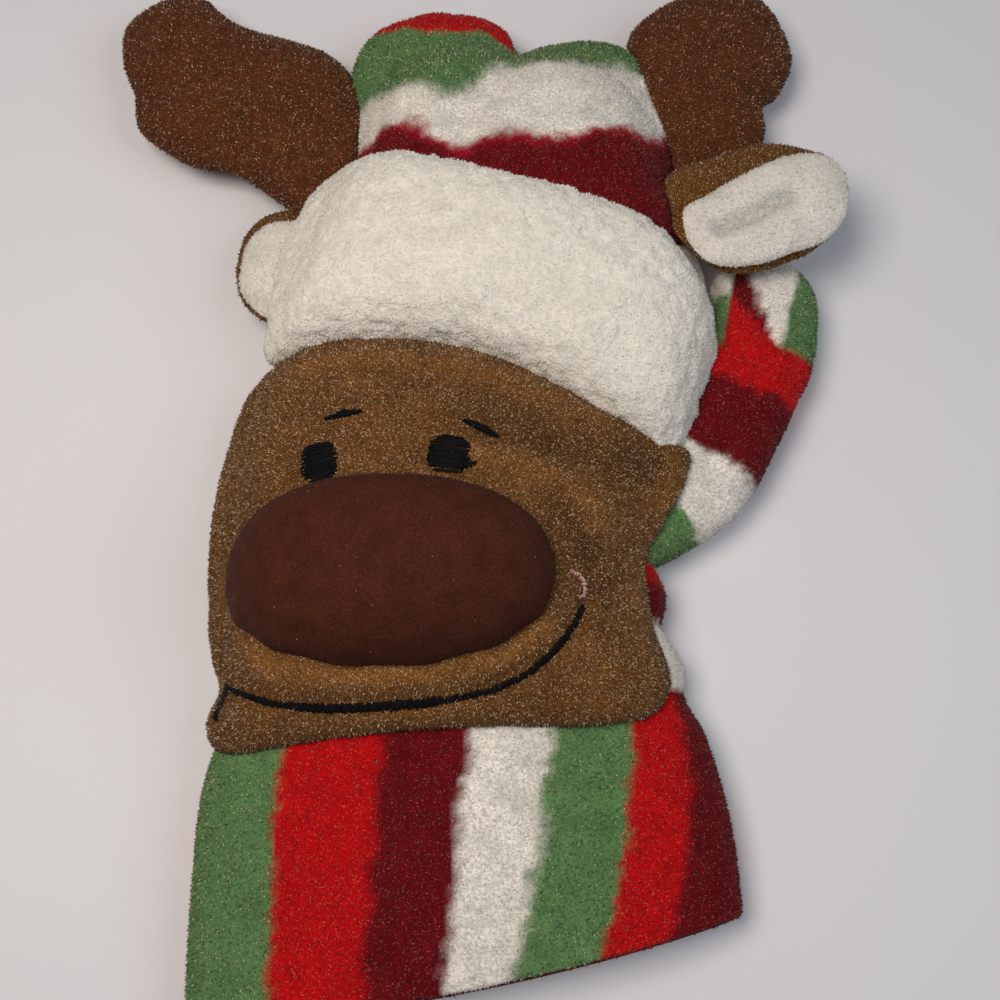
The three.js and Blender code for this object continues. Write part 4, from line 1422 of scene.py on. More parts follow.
@dataclass
class Face:
    """The padded tan face over the back of the hand, with its folds and its embroidery."""

    loft: float = 12.5
    lowest: float = 7.0
    painted_fold_shading: float = 0.27
    patches: Layers = ((0.14, 17), (0.12, 6))
    puffs: Layers = ((0.45, 16), (0.3, 5))
    nose_spot: tuple[float, float] = (-28.2, 94.8)
    nose_reach: tuple[float, float] = (37.8, 20.7)
    fold_fade: float = 0.12
    middle: tuple[float, float] = (-0.1, 0.42)
    places: tuple[tuple[float, float], ...] = (
        (-0.9, 0.632), (-0.66, 0.642), (-0.26, 0.632), (0.1, 0.61), (0.57, 0.56), (0.93, 0.53), (1.03, 0.515),
        (1.05, 0.485), (1.01, 0.445), (0.95, 0.405), (0.94, 0.34), (0.92, 0.275), (0.8, 0.243), (0.58, 0.231),
        (0.04, 0.229), (-0.5, 0.218), (-0.97, 0.208), (-1.06, 0.235), (-1.03, 0.268), (-1.09, 0.32),
        (-1.14, 0.41), (-1.12, 0.5), (-1.07, 0.6),
    )
    folds: tuple[Fold, ...] = (
        Fold(SMILE_LINE, 2.8, -2.2),
        Fold(((-56, 77), (-49, 71), (-31, 67.5), (-9, 68), (8.5, 72), (21, 80)), 3.8, 2.0),
        Fold(((6, 132), (17.5, 129.2), (34.5, 126.4), (51, 125)), 6.2, -1.25),
        Fold(((3.3, 125.8), (14.7, 123.4), (26.3, 115.9), (34.2, 109.7)), 4.5, 1.6),
        Fold(((24, 112.4), (29, 103.1), (32.6, 91.4)), 4.5, -1.3),
        Fold(((57.9, 123), (50.8, 112.4), (45.8, 99.2), (46.5, 78.6)), 4.0, 1.5),
        Fold(((-51.2, 152), (-31.4, 154), (-4.8, 151.5), (19.1, 144.5), (37.4, 136.5)), 4.0, 1.2),
    )

    def __post_init__(self) -> None:
        """Works out the outline in plan."""
        self.outline = Outline(HAND.spots(self.places), HAND.spots([self.middle])[0])

    def smooth_top(self, x: Array, y: Array, share: Array) -> Array:
        """The height of the padded panel without its folds."""
        return lofted(over_thumb(x, y), self.loft, share, 3.2, 1.9)

    def top(self, x: Array, y: Array, share: Array) -> Array:
        """The height of the padded panel with its folds, which fade out at the rim."""
        folded = sum(fold.at(x, y) for fold in self.folds)
        return self.smooth_top(x, y, share) + folded * smooth_step((1 - share) / self.fold_fade)

    def ground(self, x: Array, y: Array) -> Array:
        """The height of the face over points in plan."""
        return self.top(x, y, self.outline.share(x, y))

    def pad(self) -> Pad:
        """The padded panel.

        Returns:
            The pad, whose underside stays over a lowest height.
        """

        def bottom(x: Array, y: Array, share: Array) -> Array:
            """A pad's underside, held over the height of the hand's side."""
            return np.maximum(under_pad(x, y, share), self.lowest)

        return Pad(self.outline, self.top, bottom)

    def skin(self) -> Skin:
        """The panel's skin with soft lumps, with painted light on its ridges and painted shade in its folds.

        Returns:
            The skin.
        """
        points = self.pad().grid()
        x, y = points[..., 0], points[..., 1]
        # Painted light and shade: the dye is lighter over the ridges and darker in the folds; the patches are
        # random tone
        folded = sum(fold.at(x, y) for fold in self.folds[1:])
        shade = 1 + self.painted_fold_shading * folded + lumps(points, self.patches, 44)
        skin = Skin(points, plain(points, Yarn.TAN) * shade[..., None])
        return skin.raised(lumps(points, self.puffs, 41))

    def make(self, wardrobe: Wardrobe, brim: "Brim") -> None:
        """Makes the face's cloth and its pile.

        Args:
            wardrobe: Dresses the piece.
            brim: Covers the top of the face, where no pile is needed.
        """
        skin = self.skin()
        piece = wardrobe.cloth("face_cloth", skin, Cloth.PLUSH, "tan_plush", "face")
        x, y = skin.points[..., 0], skin.points[..., 1]
        away_x, away_y = x - self.nose_spot[0], y - self.nose_spot[1]
        under_nose = np.hypot(away_x / self.nose_reach[0], away_y / self.nose_reach[1]) <= 1
        keep = self.pad().upper_side() * ~under_nose * ~brim.covers(x, y)
        wardrobe.pile("face_pile", FACE_PILE.grow(skin, 43, keep), "tan_plush")


@dataclass
class Nose:
    """The large stuffed oval nose of short velour, puckered along its lower seam."""

    width: float = 85.0
    depth: float = 47.0
    loft: float = 22.0
    place: tuple[float, float] = (-0.265, 0.376)
    squareness: float = 0.92
    puckered_below: float = -0.3
    puckers: int = 14
    pucker_depth: float = 0.013
    tucks: int = 26
    tuck_depth: float = 0.45
    seat: float = 1.0
    puffs: Layers = ((0.3, 18),)

    def make(self, wardrobe: Wardrobe, face: Face) -> None:
        """Makes the nose's cloth and its short pile over the face.

        Args:
            wardrobe: Dresses the piece.
            face: What the nose is sewn to.
        """
        middle = HAND.spots([self.place])[0]
        angle = np.linspace(0, 2 * math.pi, 120, endpoint=False)
        wave = self.pucker_depth * np.cos(self.puckers * angle)
        pucker = np.where(np.sin(angle) < self.puckered_below, wave, 0)
        ring = np.column_stack([
            middle[0] + self.width / 2 * power(np.cos(angle), self.squareness) * (1 + pucker),
            middle[1] + self.depth / 2 * power(np.sin(angle), self.squareness) * (1 + pucker),
        ])
        outline = Outline(ring, middle)

        def top(x: Array, y: Array, share: Array) -> Array:
            """The face's height and a full, round dome, tucked in round its lower rim by small waves.

            Args:
                x: Places across the plan.
                y: Places along the plan.
                share: The way from the nose's middle to its rim.

            Returns:
                The heights.
            """
            smooth = face.smooth_top(x, y, face.outline.share(x, y))
            turn = np.arctan2(y - middle[1], x - middle[0])
            tuck = smooth_step((share - 0.72) / 0.25) * np.cos(self.tucks * turn) * (np.sin(turn) < 0.1)
            return lofted(smooth, self.loft, share, 2.3) - self.tuck_depth * np.abs(tuck)

        def bottom(x: Array, y: Array, share: Array) -> Array:
            """Just under the face's skin."""
            return face.smooth_top(x, y, face.outline.share(x, y)) - self.seat

        pad = Pad(outline, top, bottom, 200, 54)
        points = pad.grid()
        skin = Skin(points, plain(points, Yarn.CHOCOLATE))
        skin = skin.raised(lumps(points, self.puffs, 51))
        piece = wardrobe.cloth("nose_cloth", skin, Cloth.VELOUR, "nose_velour", "nose")
        wardrobe.pile("nose_pile", NOSE_PILE.grow(skin, 52, pad.upper_side()), "nose_velour")


@dataclass
class Brim:
    """The padded cream brim, a full band across the top of the face."""

    loft: float = 18.0
    rings: int = 210
    over: int = 84
    under: int = 20
    end_crowding: float = 0.35
    covered: float = 0.92
    clumps: Layers = ((0.7, 14), (0.45, 3.4), (0.42, 1.9))
    rows: Table = Table(
        at=(0, 0.04, 0.12, 0.22, 0.4, 0.58, 0.76, 0.88, 0.96, 1),
        columns={
            "across": (-1.1, -1.065, -0.92, -0.68, -0.27, 0.12, 0.52, 0.78, 0.95, 1.02),
            "low": (0.69, 0.638, 0.63, 0.636, 0.626, 0.604, 0.56, 0.531, 0.512, 0.54),
            "high": (0.79, 0.835, 0.863, 0.862, 0.843, 0.825, 0.8, 0.766, 0.705, 0.64),
            "lean": (-0.07, -0.1, -0.07, -0.03, 0, 0, 0, 0, 0, 0),
        },
    )

    def spot(self, at: Array, share: Array) -> tuple[Array, Array]:
        """The point in plan at a share along the band and from its lower edge to its upper one.

        Args:
            at: The share along the band, from its left end.
            share: The share from its lower edge to its upper one.

        Returns:
            The places across and along the plan.
        """
        low, high = self.rows.read("low", at), self.rows.read("high", at)
        across = self.rows.read("across", at) + self.rows.read("lean", at) * share
        return HAND.place(across, low + (high - low) * share)

    def covers(self, x: Array, y: Array) -> Array:
        """Whether points in plan lie well under the band."""
        return self.pad().outline.share(x, y) < self.covered

    def pad(self) -> Pad:
        """The band as a padded outline, which its neighbours are kept clear of.

        Returns:
            The pad.
        """
        at = np.linspace(0.01, 0.99, 40)
        lower = np.column_stack(self.spot(at, np.zeros_like(at)))
        upper = np.column_stack(self.spot(at, np.ones_like(at)))[::-1]
        middle = np.array(self.spot(np.array(0.5), np.array(0.5)))

        def top(x: Array, y: Array, share: Array) -> Array:
            """The hand's height and the band's loft."""
            return lofted(over_hand(x, y), self.loft, share)

        return Pad(Outline(np.vstack([lower, upper]), middle), top, under_pad)

    def make(self, wardrobe: Wardrobe) -> None:
        """Makes the brim's cloth and its clumped pile.

        The band's sections lie side by side from its left end, closer together near both ends. Each runs over
        from edge to edge, evenly round a half circle, and back underneath.

        Args:
            wardrobe: Dresses the piece.
        """
        ends = np.sin(np.linspace(-math.pi / 2, math.pi / 2, self.rings)) * 0.5 + 0.5
        even = np.linspace(0, 1, self.rings)
        at = (self.end_crowding * ends + (1 - self.end_crowding) * even)[:, None]
        over = np.linspace(0, 1, self.over)[None]
        under = np.linspace(0.98, 0.02, self.under)[None]
        end = dome(2 * at - 1, 7, 2)
        x, y = self.spot(at, 0.5 - 0.5 * np.cos(math.pi * over))
        height = over_hand(x, y) + EDGE + (self.loft - EDGE) * end * dome(np.cos(math.pi * over), 3.4, 2)
        below_x, below_y = self.spot(at, under)
        floor = under_pad(below_x, below_y, np.abs(2 * under - 1) * np.ones_like(below_x))
        upper, lower = np.stack([x, y, height], -1), np.stack([below_x, below_y, floor], -1)
        points = np.concatenate([upper, lower], axis=1)
        shown = np.ones(points.shape[:2])
        shown[:, self.over :] = 0
        skin = Skin(points, plain(points, Yarn.CREAM))
        skin = skin.raised(lumps(points, self.clumps, 61) * shown)
        piece = wardrobe.cloth("brim_cloth", skin, Cloth.CREAM, "cream_plush", "brim")
        wardrobe.pile("brim_pile", BRIM_PILE.grow(skin, 64, shown), "cream_plush")


@dataclass
class Crown:
    """The padded striped crown over the fingertips, in two lobes with a crease between them."""

    loft: float = 13.0
    middle: tuple[float, float] = (0.02, 0.87)
    puffs: Layers = ((0.5, 15), (0.3, 5))
    places: tuple[tuple[float, float], ...] = (
        (-0.93, 0.8), (-0.98, 0.87), (-1.08, 0.93), (-1.21, 0.99), (-1.08, 1.043), (-0.66, 1.072),
        (-0.22, 1.072), (0.02, 1.05), (0.13, 1.02), (0.3, 1.03), (0.75, 1.037), (1.1, 1.017),
        (1.19, 0.955), (1.11, 0.86), (1.01, 0.78), (0.6, 0.745), (0, 0.76), (-0.6, 0.785),
    )
    crease_from: tuple[float, float] = (0.15, 1.02)
    crease_to: tuple[float, float] = (-0.32, 0.86)
    crease_reach: float = 7.7
    crease_depth: float = 0.42
    crease_fade: float = 0.7
    red_edge: tuple[tuple[float, ...], tuple[float, ...]] = (
        (-0.95, -0.77, -0.55, -0.27, -0.11, 0.05), (1.04, 1.042, 1.036, 1.033, 1.036, 1.012))
    green_edge: tuple[tuple[float, ...], tuple[float, ...]] = (
        (-1.07, -0.92, -0.62, -0.51, -0.4, -0.26, -0.13, 0.03, 0.25, 0.46, 0.71, 0.92),
        (0.934, 0.94, 0.935, 0.925, 0.918, 0.93, 0.952, 0.966, 0.967, 0.966, 0.972, 0.985))
    white_edge: tuple[tuple[float, ...], tuple[float, ...]] = (
        (-0.87, -0.77, -0.56, -0.38, -0.27, -0.13, 0.09, 0.3, 0.51, 0.74, 0.94, 1.08),
        (0.882, 0.89, 0.88, 0.862, 0.852, 0.864, 0.868, 0.866, 0.874, 0.883, 0.888, 0.9))
    crimson_band: float = 3.2
    red_until: float = 0.08
    beyond: float = 300.0
    soft: tuple[float, ...] = (4.0, 4.0, 7.0, 2.5)

    def __post_init__(self) -> None:
        """Works out the outline in plan."""
        self.outline = Outline(HAND.spots(self.places), HAND.spots([self.middle])[0])

    def top(self, x: Array, y: Array, share: Array) -> Array:
        """The hand's height and the crown's loft, less the crease between the lobes.

        Args:
            x: Places across the plan.
            y: Places along the plan.
            share: The way from the crown's middle to its rim.

        Returns:
            The heights. The crease is a bell over the distance to its line, which grows shallower along it.
        """
        start, end = HAND.spots([self.crease_from, self.crease_to])
        way = end - start
        t = np.clip(((x - start[0]) * way[0] + (y - start[1]) * way[1]) / (way @ way), 0, 1)
        off = np.hypot(x - start[0] - t * way[0], y - start[1] - t * way[1]) / self.crease_reach
        crease = self.crease_depth * np.exp(-(off**2)) * (1 - self.crease_fade * t)
        return lofted(over_hand(x, y), self.loft * (1 - crease), share)

    def pad(self) -> Pad:
        """The padded crown."""
        return Pad(self.outline, self.top, under_pad, 220, 54)

    def dye(self, points: Array) -> Array:
        """Stripes across the crown, whose edges wander: dark red, white, green, and red on the left lobe.

        Args:
            points: Places on the crown.

        Returns:
            Their dye.
        """
        x, y = points[..., 0], points[..., 1]
        across, _ = HAND.shares(x, y)
        bounds = [
            Table(edge[0], {"along": edge[1]}).read("along", across) * HAND.length
            for edge in (self.white_edge, self.green_edge, self.red_edge)
        ]
        bounds[2] = np.where(across > self.red_until, self.beyond, bounds[2])
        bounds.insert(0, bounds[0] - self.crimson_band)
        yarns = (Yarn.DARK_RED, Yarn.CRIMSON, Yarn.WHITE, Yarn.GREEN, Yarn.RED)
        return striped(points, y, bounds, yarns, self.soft)

    def make(self, wardrobe: Wardrobe, brim: Brim) -> None:
        """Makes the crown's cloth and its pile.

        Args:
            wardrobe: Dresses the piece.
            brim: Covers the bottom of the crown, where no pile is needed.
        """
        pad = self.pad()
        points = pad.grid()
        skin = Skin(points, self.dye(points))
        skin = skin.raised(lumps(points, self.puffs, 71))
        piece = wardrobe.cloth("crown_cloth", skin, Cloth.FLEECE, "striped_fleece", "crown")
        keep = pad.upper_side() * ~brim.covers(points[..., 0], points[..., 1])
        wardrobe.pile("crown_pile", CROWN_PILE.grow(skin, 73, keep), "striped_fleece")


@dataclass
class Pillow:
    """A flat stuffed shape, such as an antler or an ear, whose outline is given as shares of its span."""

    root: tuple[float, float]
    middle: tuple[float, float]
    places: tuple[tuple[float, float], ...]
    span: float
    low: float
    thickness: float
    share: float = 1.0
    shift: tuple[float, float] = (0.0, 0.0)
    sides: int = 110
    rings: int = 26
    fullness: float = 3.0
    roundness: float = 1.8

    def pad(self) -> Pad:
        """The shape as a pad: half its thickness above and half below, each a dome.

        Returns:
            The pad, over its outline drawn in by its share and shifted.
        """
        seat = HAND.spots([self.root])[0]
        middle = np.array(self.middle) + np.array(self.shift)
        drawn = middle + (np.array(self.places) - np.array(self.middle)) * self.share
        outline = Outline(seat + drawn * self.span, seat + middle * self.span)

        def top(x: Array, y: Array, share: Array) -> Array:
            """Half the thickness, and a dome of the other half."""
            return self.low + self.thickness / 2 * (1 + dome(share, self.fullness, self.roundness))

        def bottom(x: Array, y: Array, share: Array) -> Array:
            """Half the thickness, less a dome of the other half."""
            return self.low + self.thickness / 2 * (1 - dome(share, self.fullness, self.roundness))

        return Pad(outline, top, bottom, self.sides, self.rings)


ANTLER_LEFT = (
    (-0.02, -0.12), (-0.14, -0.03), (-0.34, 0.11), (-0.52, 0.15), (-0.67, 0.23), (-0.77, 0.32), (-0.79, 0.46),
    (-0.86, 0.64), (-0.85, 0.81), (-0.71, 0.93), (-0.54, 0.94), (-0.4, 0.82), (-0.15, 0.73), (0.04, 0.65),
    (0.16, 0.5), (0.2, 0.3), (0.18, 0.05),
)
ANTLER_RIGHT = (
    (-0.06, -0.08), (-0.13, 0.14), (-0.2, 0.33), (-0.23, 0.52), (-0.18, 0.69), (-0.04, 0.82), (0.15, 0.88),
    (0.37, 0.83), (0.45, 0.69), (0.48, 0.54), (0.42, 0.39), (0.34, 0.33), (0.35, 0.2), (0.27, 0.05),
    (0.12, -0.06),
)
EAR_LEFT = (
    (0, 0.08), (-0.24, 0.1), (-0.41, -0.02), (-0.47, -0.25), (-0.46, -0.42), (-0.36, -0.58), (-0.18, -0.67),
    (0.02, -0.64), (0.13, -0.4), (0.12, -0.12),
)
EAR_RIGHT_LINING = (
    (-0.03, -0.08), (0.07, -0.03), (0.3, 0.11), (0.59, 0.24), (0.82, 0.25), (0.94, 0.12), (0.94, -0.08),
    (0.83, -0.26), (0.59, -0.38), (0.31, -0.46), (0.1, -0.43), (-0.03, -0.27),
)
EAR_RIGHT = (
    (-0.12, 0.15), (0.18, 0.3), (0.45, 0.38), (0.68, 0.37), (0.88, 0.29), (0.97, 0.12), (0.92, -0.08),
    (0.8, -0.27), (0.6, -0.39), (0.38, -0.46), (0.16, -0.44), (-0.08, -0.2),
)


@dataclass(frozen=True)
class Ear:
    """An ear: where it is sewn in, its outline, and its lining's outline, which is drawn in and shifted."""

    name: str
    root: tuple[float, float]
    middle: tuple[float, float]
    places: tuple[tuple[float, float], ...]
    lining: tuple[tuple[float, float], ...]
    lift: float
    seed: int
    share: float = 1.0
    shift: tuple[float, float] = (0.0, 0.0)


EARS = (
    Ear("ear_left", (-1.1, 0.8), (-0.16, -0.28), EAR_LEFT, EAR_LEFT, 0.3, 91, 0.86, (0.0, -0.07)),
    Ear("ear_right", (0.99, 0.8), (0.48, -0.06), EAR_RIGHT, EAR_RIGHT_LINING, 0.84, 95),
)
EAR_CREASE = Fold(((68.5, 190.8), (79.2, 195.2), (87, 199.5)), 2.6, -3.2)


@dataclass
class Trim:
    """The antlers and the ears, sewn in at the edge of the hat."""

    hat: Sequence[Pad]
    antler_span: float = 70.0
    antler_thickness: float = 18.0
    antler_lift: float = 3.0
    ear_span: float = 46.0
    ear_back: float = 7.0
    ear_lining: float = 5.0
    hat_gap: float = 0.6
    crease_shade: float = 0.07
    patches: Layers = ((0.05, 9),)
    puffs: Layers = ((0.4, 12), (0.25, 4))
    underside_pile: float = 0.15

    def stuffed(
        self,
        wardrobe: Wardrobe,
        name: str,
        shape: Pillow,
        yarn: Yarn,
        cloth: Cloth,
        slot: str,
        seed: int,
        creases: Sequence[Fold] = (),
    ) -> None:
        """Makes one stuffed shape and its pile, clear of the hat.

        Args:
            wardrobe: Dresses the piece.
            name: The name of the node that it replaces, which its own name starts with.
            shape: Its form.
            yarn: Its dye.
            cloth: Its cloth.
            slot: The record's material slot.
            seed: Chooses its lumps and its pile.
            creases: Folds in its upper side.
        """
        pad = shape.pad()
        points, upper = pad.grid(), pad.upper_side()
        folded = sum((fold.at(points[..., 0], points[..., 1]) for fold in creases), np.zeros(upper.shape))
        points[..., 2] += folded * upper
        for part in self.hat:
            points = part.clear(points, self.hat_gap)
        # Painted shade darkens the dye in the creases of the upper side; the patches are random tone
        shade = 1 + self.crease_shade * folded * upper + lumps(points, self.patches, seed + 3)
        skin = Skin(points, plain(points, yarn) * shade[..., None])
        skin = skin.raised(lumps(points, self.puffs, seed))
        piece = wardrobe.cloth(name + "_cloth", skin, cloth, slot, name)
        pile = LINING_PILE if yarn is Yarn.WHITE else TRIM_PILE
        keep = self.underside_pile + (1 - self.underside_pile) * upper
        wardrobe.pile(name + "_pile", pile.grow(skin, seed + 2, keep), slot)

    def make(self, wardrobe: Wardrobe) -> None:
        """Makes both antlers and both ears.

        Args:
            wardrobe: Dresses the pieces.
        """
        for name, root, middle, places, seed in (
            ("antler_left", (-1.14, 0.833), (-0.32, 0.46), ANTLER_LEFT, 81),
            ("antler_right", (1.13, 0.86), (0.13, 0.43), ANTLER_RIGHT, 85),
        ):
            shape = Pillow(root, middle, places, self.antler_span, self.antler_lift, self.antler_thickness)
            self.stuffed(wardrobe, name, shape, Yarn.ANTLER, Cloth.ANTLER, "antler_plush", seed)
        for ear in EARS:
            low = ear.lift * HAND.height
            back = Pillow(ear.root, ear.middle, ear.places, self.ear_span, low, self.ear_back)
            self.stuffed(wardrobe, ear.name + "_back", back, Yarn.TAN, Cloth.PLUSH, "tan_plush", ear.seed)
            lining = Pillow(
                ear.root,
                ear.middle,
                ear.lining,
                self.ear_span,
                low + self.ear_back / 2,
                self.ear_lining + self.ear_back / 2,
                ear.share,
                ear.shift,
            )
            name, seed = ear.name + "_lining", ear.seed + 100
            self.stuffed(
                wardrobe, name, lining, Yarn.WHITE, Cloth.CREAM, "cream_plush", seed, [EAR_CREASE])


@dataclass
class Embroidery:
    """Satin stitches on the face: every thread is a fine tube that arches over from edge to edge."""

    face: Face
    thread: float = 0.42
    fullness: float = 1.15
    loft: float = 1.1
    sunk: float = 0.25
    waver: float = 0.17
    slant: float = 0.35
    row_step: float = 0.82
    column_step: float = 0.85
    unevenness: float = 0.3
    sides: int = 5
    steps: int = 6

    def threads(self, start: Array, end: Array, yarn: Yarn, seed: int) -> Tufts:
        """Tubes from start points to end points, arched over the face.

        Each tube's line is the straight way in plan, lifted over the face by its loft times a dome, with a
        ring of points square to it at each step.

        Args:
            start: One end of each thread in plan, one a row.
            end: The other ends.
            yarn: The thread's dye.
            seed: Moves the ends a little.

        Returns:
            Points, dye and faces.
        """
        rng = np.random.default_rng(seed)
        start = start + rng.normal(0, self.waver, start.shape)
        end = end + rng.normal(0, self.waver, end.shape)
        u = np.linspace(0, 1, self.steps)[None, :, None]
        plan = start[:, None] * (1 - u) + end[:, None] * u
        way = end - start
        way /= np.maximum(np.linalg.norm(way, axis=1), 1e-6)[:, None]
        lift = self.loft * dome(2 * u[..., 0] - 1, 3, 2) - self.sunk
        z = self.face.ground(plan[..., 0], plan[..., 1]) + lift
        angle = np.linspace(0, 2 * math.pi, self.sides, endpoint=False)
        side = np.column_stack([-way[:, 1], way[:, 0]])[:, None, None, :]
        radius = self.thread / 2 * self.fullness
        x = plan[..., None, 0] + radius * np.cos(angle) * side[..., 0]
        y = plan[..., None, 1] + radius * np.cos(angle) * side[..., 1]
        height = z[..., None] + radius * np.sin(angle)
        points = np.stack([x, y, np.broadcast_to(height, x.shape)], axis=-1)
        count = len(start)
        index = np.arange(count * self.steps * self.sides).reshape(count, self.steps, self.sides)
        turned = np.roll(index, -1, axis=2)
        walls = np.stack([index[:, :-1], turned[:, :-1], turned[:, 1:], index[:, 1:]], axis=-1)
        walls = walls.reshape(-1, 4)
        split = np.vstack([walls[:, [0, 1, 2]], walls[:, [0, 2, 3]]])
        fan = np.array([[0, k + 1, k] for k in range(1, self.sides - 1)])
        caps = [index[:, 0][:, fan].reshape(-1, 3), index[:, -1][:, fan[:, ::-1]].reshape(-1, 3)]
        shade = rng.uniform(1 - self.unevenness, 1 + self.unevenness, (count, 1, 1, 1))
        shade = shade * np.ones((count, self.steps, self.sides, 3))
        return points.reshape(-1, 3), (yarn.linear * shade).reshape(-1, 3), np.vstack([split, *caps])

    def patch(self, middle: Array, length: float, width: float, turn: float, seed: int) -> Tufts:
        """A rounded square filled with rows of thread.

        Args:
            middle: Its place in plan.
            length: Its size along the threads.
            width: Its size across them.
            turn: The threads' angle in degrees.
            seed: Moves the threads a little.

        Returns:
            Points, dye and faces.
        """
        rows = np.arange(-width / 2 + self.thread / 2, width / 2, self.thread * self.row_step)
        half = length / 2 * (1 - np.abs(2 * rows / width) ** 3.3) ** 0.3
        ahead = np.array([math.cos(math.radians(turn)), math.sin(math.radians(turn))])
        side = np.array([-ahead[1], ahead[0]])
        centre = middle + rows[:, None] * side
        reach = half[:, None] * ahead
        return self.threads(centre - reach, centre + reach, Yarn.THREAD, seed)

    def column(
        self, line: Array, width: tuple[float, float, float], seed: int, yarn: Yarn = Yarn.THREAD
    ) -> Tufts:
        """A satin column: threads laid side by side across a line.

        Args:
            line: The line's points in plan, one a row.
            width: The column's width at its start, in its middle and at its end.
            seed: Moves the threads a little.
            yarn: The thread's dye.

        Returns:
            Points, dye and faces.
        """
        length = np.concatenate([[0], np.cumsum(np.linalg.norm(np.diff(line, axis=0), axis=1))])
        wanted = np.arange(0, length[-1], self.thread * self.column_step)
        centre = np.column_stack([np.interp(wanted, length, line[:, k]) for k in range(2)])
        ahead = np.gradient(centre, axis=0)
        ahead /= np.linalg.norm(ahead, axis=1)[:, None]
        slanted = np.column_stack([-ahead[:, 1], ahead[:, 0]]) + self.slant * ahead
        half = np.interp(wanted / length[-1], (0, 0.5, 1), width)[:, None] / 2
        return self.threads(centre - slanted * half, centre + slanted * half, yarn, seed)

    def make(self, wardrobe: Wardrobe) -> None:
        """Makes the eyes, the brows, the smile and the small cheek stitches.

        Args:
            wardrobe: Dresses the pieces.
        """
        eyes = (("eye_left", (-0.59, 0.489), 10.2, 10.2, 8), ("eye_right", (-0.025, 0.494), 10.6, 9.6, -6))
        spur = np.array([(-1.2, 121.4), (2.6, 122.0)])
        for name, place, length, width, turn in eyes:
            parts = [self.patch(HAND.spots([place])[0], length, width, turn, 111)]
            if name == "eye_right":
                parts.append(self.column(spur, (2.4, 1.6, 0.6), 113))
            self.sew(wardrobe, name + "_stitches", parts, name)
        brows = (
            ("brow_left", ((-36.4, 135.0), (-32, 136.2), (-26.8, 136.4)), 121),
            ("brow_right", ((-0.6, 133.9), (3.4, 132.4), (8.2, 129.4)), 122),
        )
        for name, line, seed in brows:
            brow = self.column(np.array(line), (0.8, 2.3, 1.0), seed)
            self.sew(wardrobe, name + "_stitches", [brow], name)
        smile = open_line(np.array(SMILE_LINE), 160)
        corner = np.array([(-65.0, 60.2), (-63.4, 64), (-61.4, 68.6)])
        parts = [self.column(smile, (1.9, 2.3, 1.6), 131), self.column(corner, (2.6, 3.4, 2.8), 132)]
        self.sew(wardrobe, "smile_stitches", parts, "smile")
        cheek = open_line(np.array([(26.6, 95.3), (29.1, 93.6), (29.9, 91.2), (29.3, 88.9)]), 30)
        stitches = self.column(cheek, (0.9, 1.5, 1.0), 133, Yarn.PINK)
        self.sew(wardrobe, "cheek_stitches", [stitches])

    @staticmethod
    def sew(wardrobe: Wardrobe, name: str, parts: Sequence[Tufts], node: str = "") -> None:
        """Makes one piece of embroidery from its threads.

        Args:
            wardrobe: Dresses the piece.
            name: The piece's name.
            parts: Points, dye and faces of each part.
            node: The node that it replaces, if there is one.
        """
        starts = np.cumsum([0] + [len(points) for points, _, _ in parts])
        points = np.vstack([part[0] for part in parts])
        dye = np.vstack([part[1] for part in parts])
        faces = np.vstack([part[2] + start for part, start in zip(parts, starts)])
        piece = mesh_object(name, points, dye, [faces])
        if node:
            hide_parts(node)
        wardrobe.wear(piece, Strands("embroidery_thread", roughness=0.75, sheen=0.0))


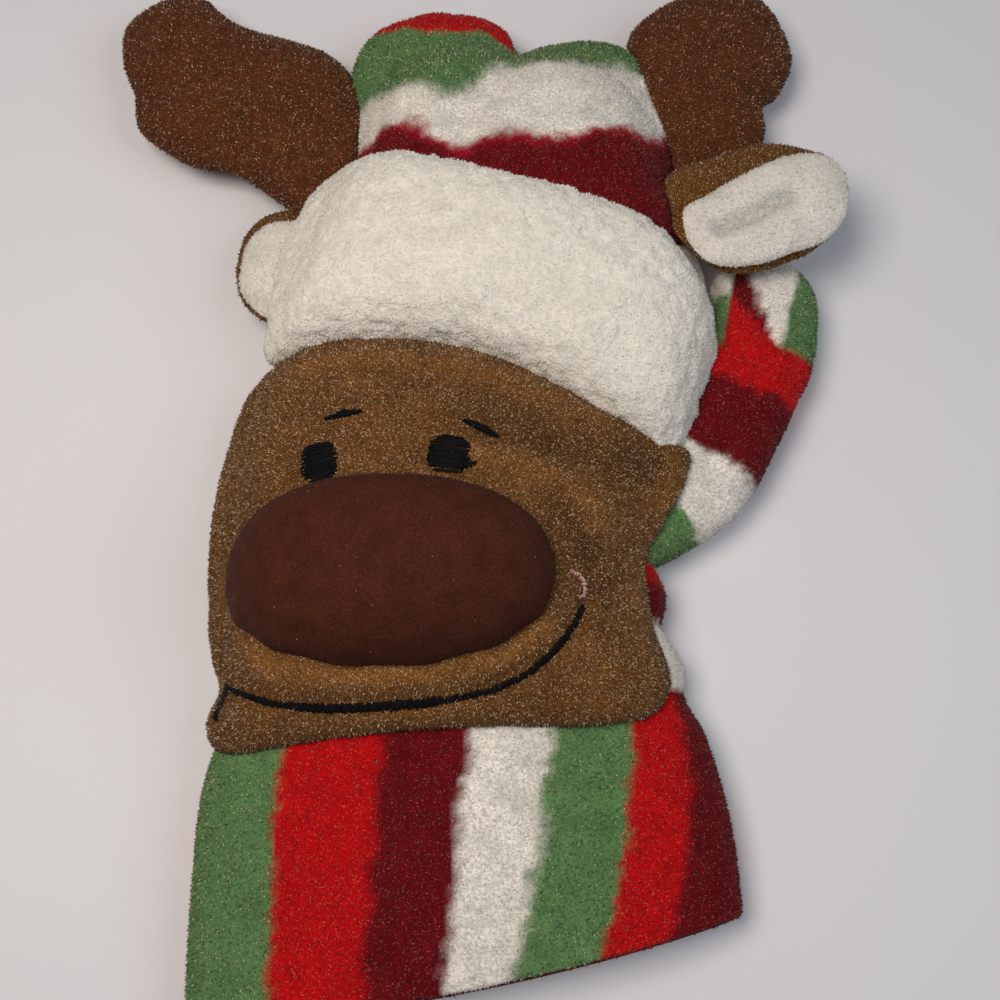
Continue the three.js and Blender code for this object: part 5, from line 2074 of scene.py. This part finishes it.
@dataclass
class Studio:
    """The pale floor, the soft lights and the camera over the mitten."""

    lens: float = 50.0
    sensor: float = 36.0
    elevation: float = 75.0
    distance: float = 0.37
    target: tuple[float, float, float] = (0.00774, -0.01419, 0.02)
    floor_side: float = 2.5
    sky: float = 0.13

    def camera(self) -> None:
        """Stands the camera in front of the cuff, looking down steeply."""
        data = bpy.data.cameras.new("camera")
        data.lens = self.lens
        data.sensor_width = self.sensor
        data.clip_start = 0.01
        camera = bpy.data.objects.new("camera", data)
        rise = math.radians(self.elevation)
        away = Vector((0, -math.cos(rise), math.sin(rise))) * self.distance
        camera.location = Vector(self.target) + away
        camera.rotation_euler = (-away).to_track_quat("-Z", "Y").to_euler()
        bpy.context.scene.collection.objects.link(camera)
        bpy.context.scene.camera = camera

    def light(
        self,
        name: str,
        place: tuple[float, float, float],
        size: float,
        energy: float,
        colour: tuple[float, float, float],
    ) -> None:
        """Hangs one soft square light, turned to the mitten.

        Args:
            name: The light's name.
            place: Where it hangs, in metres.
            size: The length of its side.
            energy: Its power in watts.
            colour: Its colour.
        """
        data = bpy.data.lights.new(name, "AREA")
        data.size = size
        data.energy = energy
        data.color = colour
        lamp = bpy.data.objects.new(name, data)
        lamp.location = place
        lamp.rotation_euler = (-Vector(place)).to_track_quat("-Z", "Y").to_euler()
        bpy.context.scene.collection.objects.link(lamp)

    def floor(self) -> None:
        """Lays a wide pale floor under the mitten."""
        mesh = bpy.data.meshes.new("floor")
        side = self.floor_side
        places = [(-side, -side, 0), (side, -side, 0), (side, side, 0), (-side, side, 0)]
        mesh.from_pydata(places, [], [(0, 1, 2, 3)])
        floor = bpy.data.objects.new("floor", mesh)
        material = bpy.data.materials.new("floor_paint")
        material.use_nodes = True
        tree = material.node_tree
        shader = tree.nodes["Principled BSDF"]
        shader.inputs["Roughness"].default_value = 0.6
        patches = tree.nodes.new("ShaderNodeTexNoise")
        patches.inputs["Scale"].default_value = 5
        place = tree.nodes.new("ShaderNodeTexCoord")
        tree.links.new(place.outputs["Object"], patches.inputs["Vector"])
        ramp = tree.nodes.new("ShaderNodeValToRGB")
        ramp.color_ramp.elements[0].color = (0.88, 0.855, 0.87, 1)
        ramp.color_ramp.elements[1].color = (0.91, 0.885, 0.9, 1)
        tree.links.new(patches.outputs["Fac"], ramp.inputs["Fac"])
        tree.links.new(ramp.outputs["Color"], shader.inputs["Base Color"])
        mesh.materials.append(material)
        bpy.context.scene.collection.objects.link(floor)

    def make(self) -> None:
        """Sets up the whole studio."""
        self.camera()
        self.floor()
        self.light("key", (-0.16, -0.02, 0.55), 0.26, 1.8, (1.0, 0.92, 0.85))
        self.light("fill", (0.5, -0.1, 0.6), 0.5, 1.2, (0.74, 0.88, 1.0))
        world = bpy.data.worlds.new("soft_sky")
        world.use_nodes = True
        background = world.node_tree.nodes["Background"]
        background.inputs["Color"].default_value = (0.93, 0.94, 1.0, 1)
        background.inputs["Strength"].default_value = self.sky
        bpy.context.scene.world = world
        bpy.context.scene.view_settings.view_transform = "Standard"


def corners(box: tuple[Vector, Vector]) -> list[list[float]]:
    """A box's two corners as plain lists of numbers."""
    return [[float(value) for value in corner] for corner in box]


def main() -> None:
    """Builds the mitten piece by piece round the frame and reports it."""
    logging.basicConfig(level=logging.INFO, format="%(message)s")
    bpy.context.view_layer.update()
    Studio().make()
    wardrobe = Wardrobe()
    shell, thumb = Shell(), Thumb()
    shell.make(wardrobe, thumb)
    thumb.make(wardrobe, shell)
    face, brim, crown = Face(), Brim(), Crown()
    face.make(wardrobe, brim)
    Nose().make(wardrobe, face)
    brim.make(wardrobe)
    crown.make(wardrobe, brim)
    Trim([crown.pad(), brim.pad()]).make(wardrobe)
    Embroidery(face).make(wardrobe)
    log.info("in all: %d triangles", wardrobe.total)


if __name__ == "__main__":
    main()
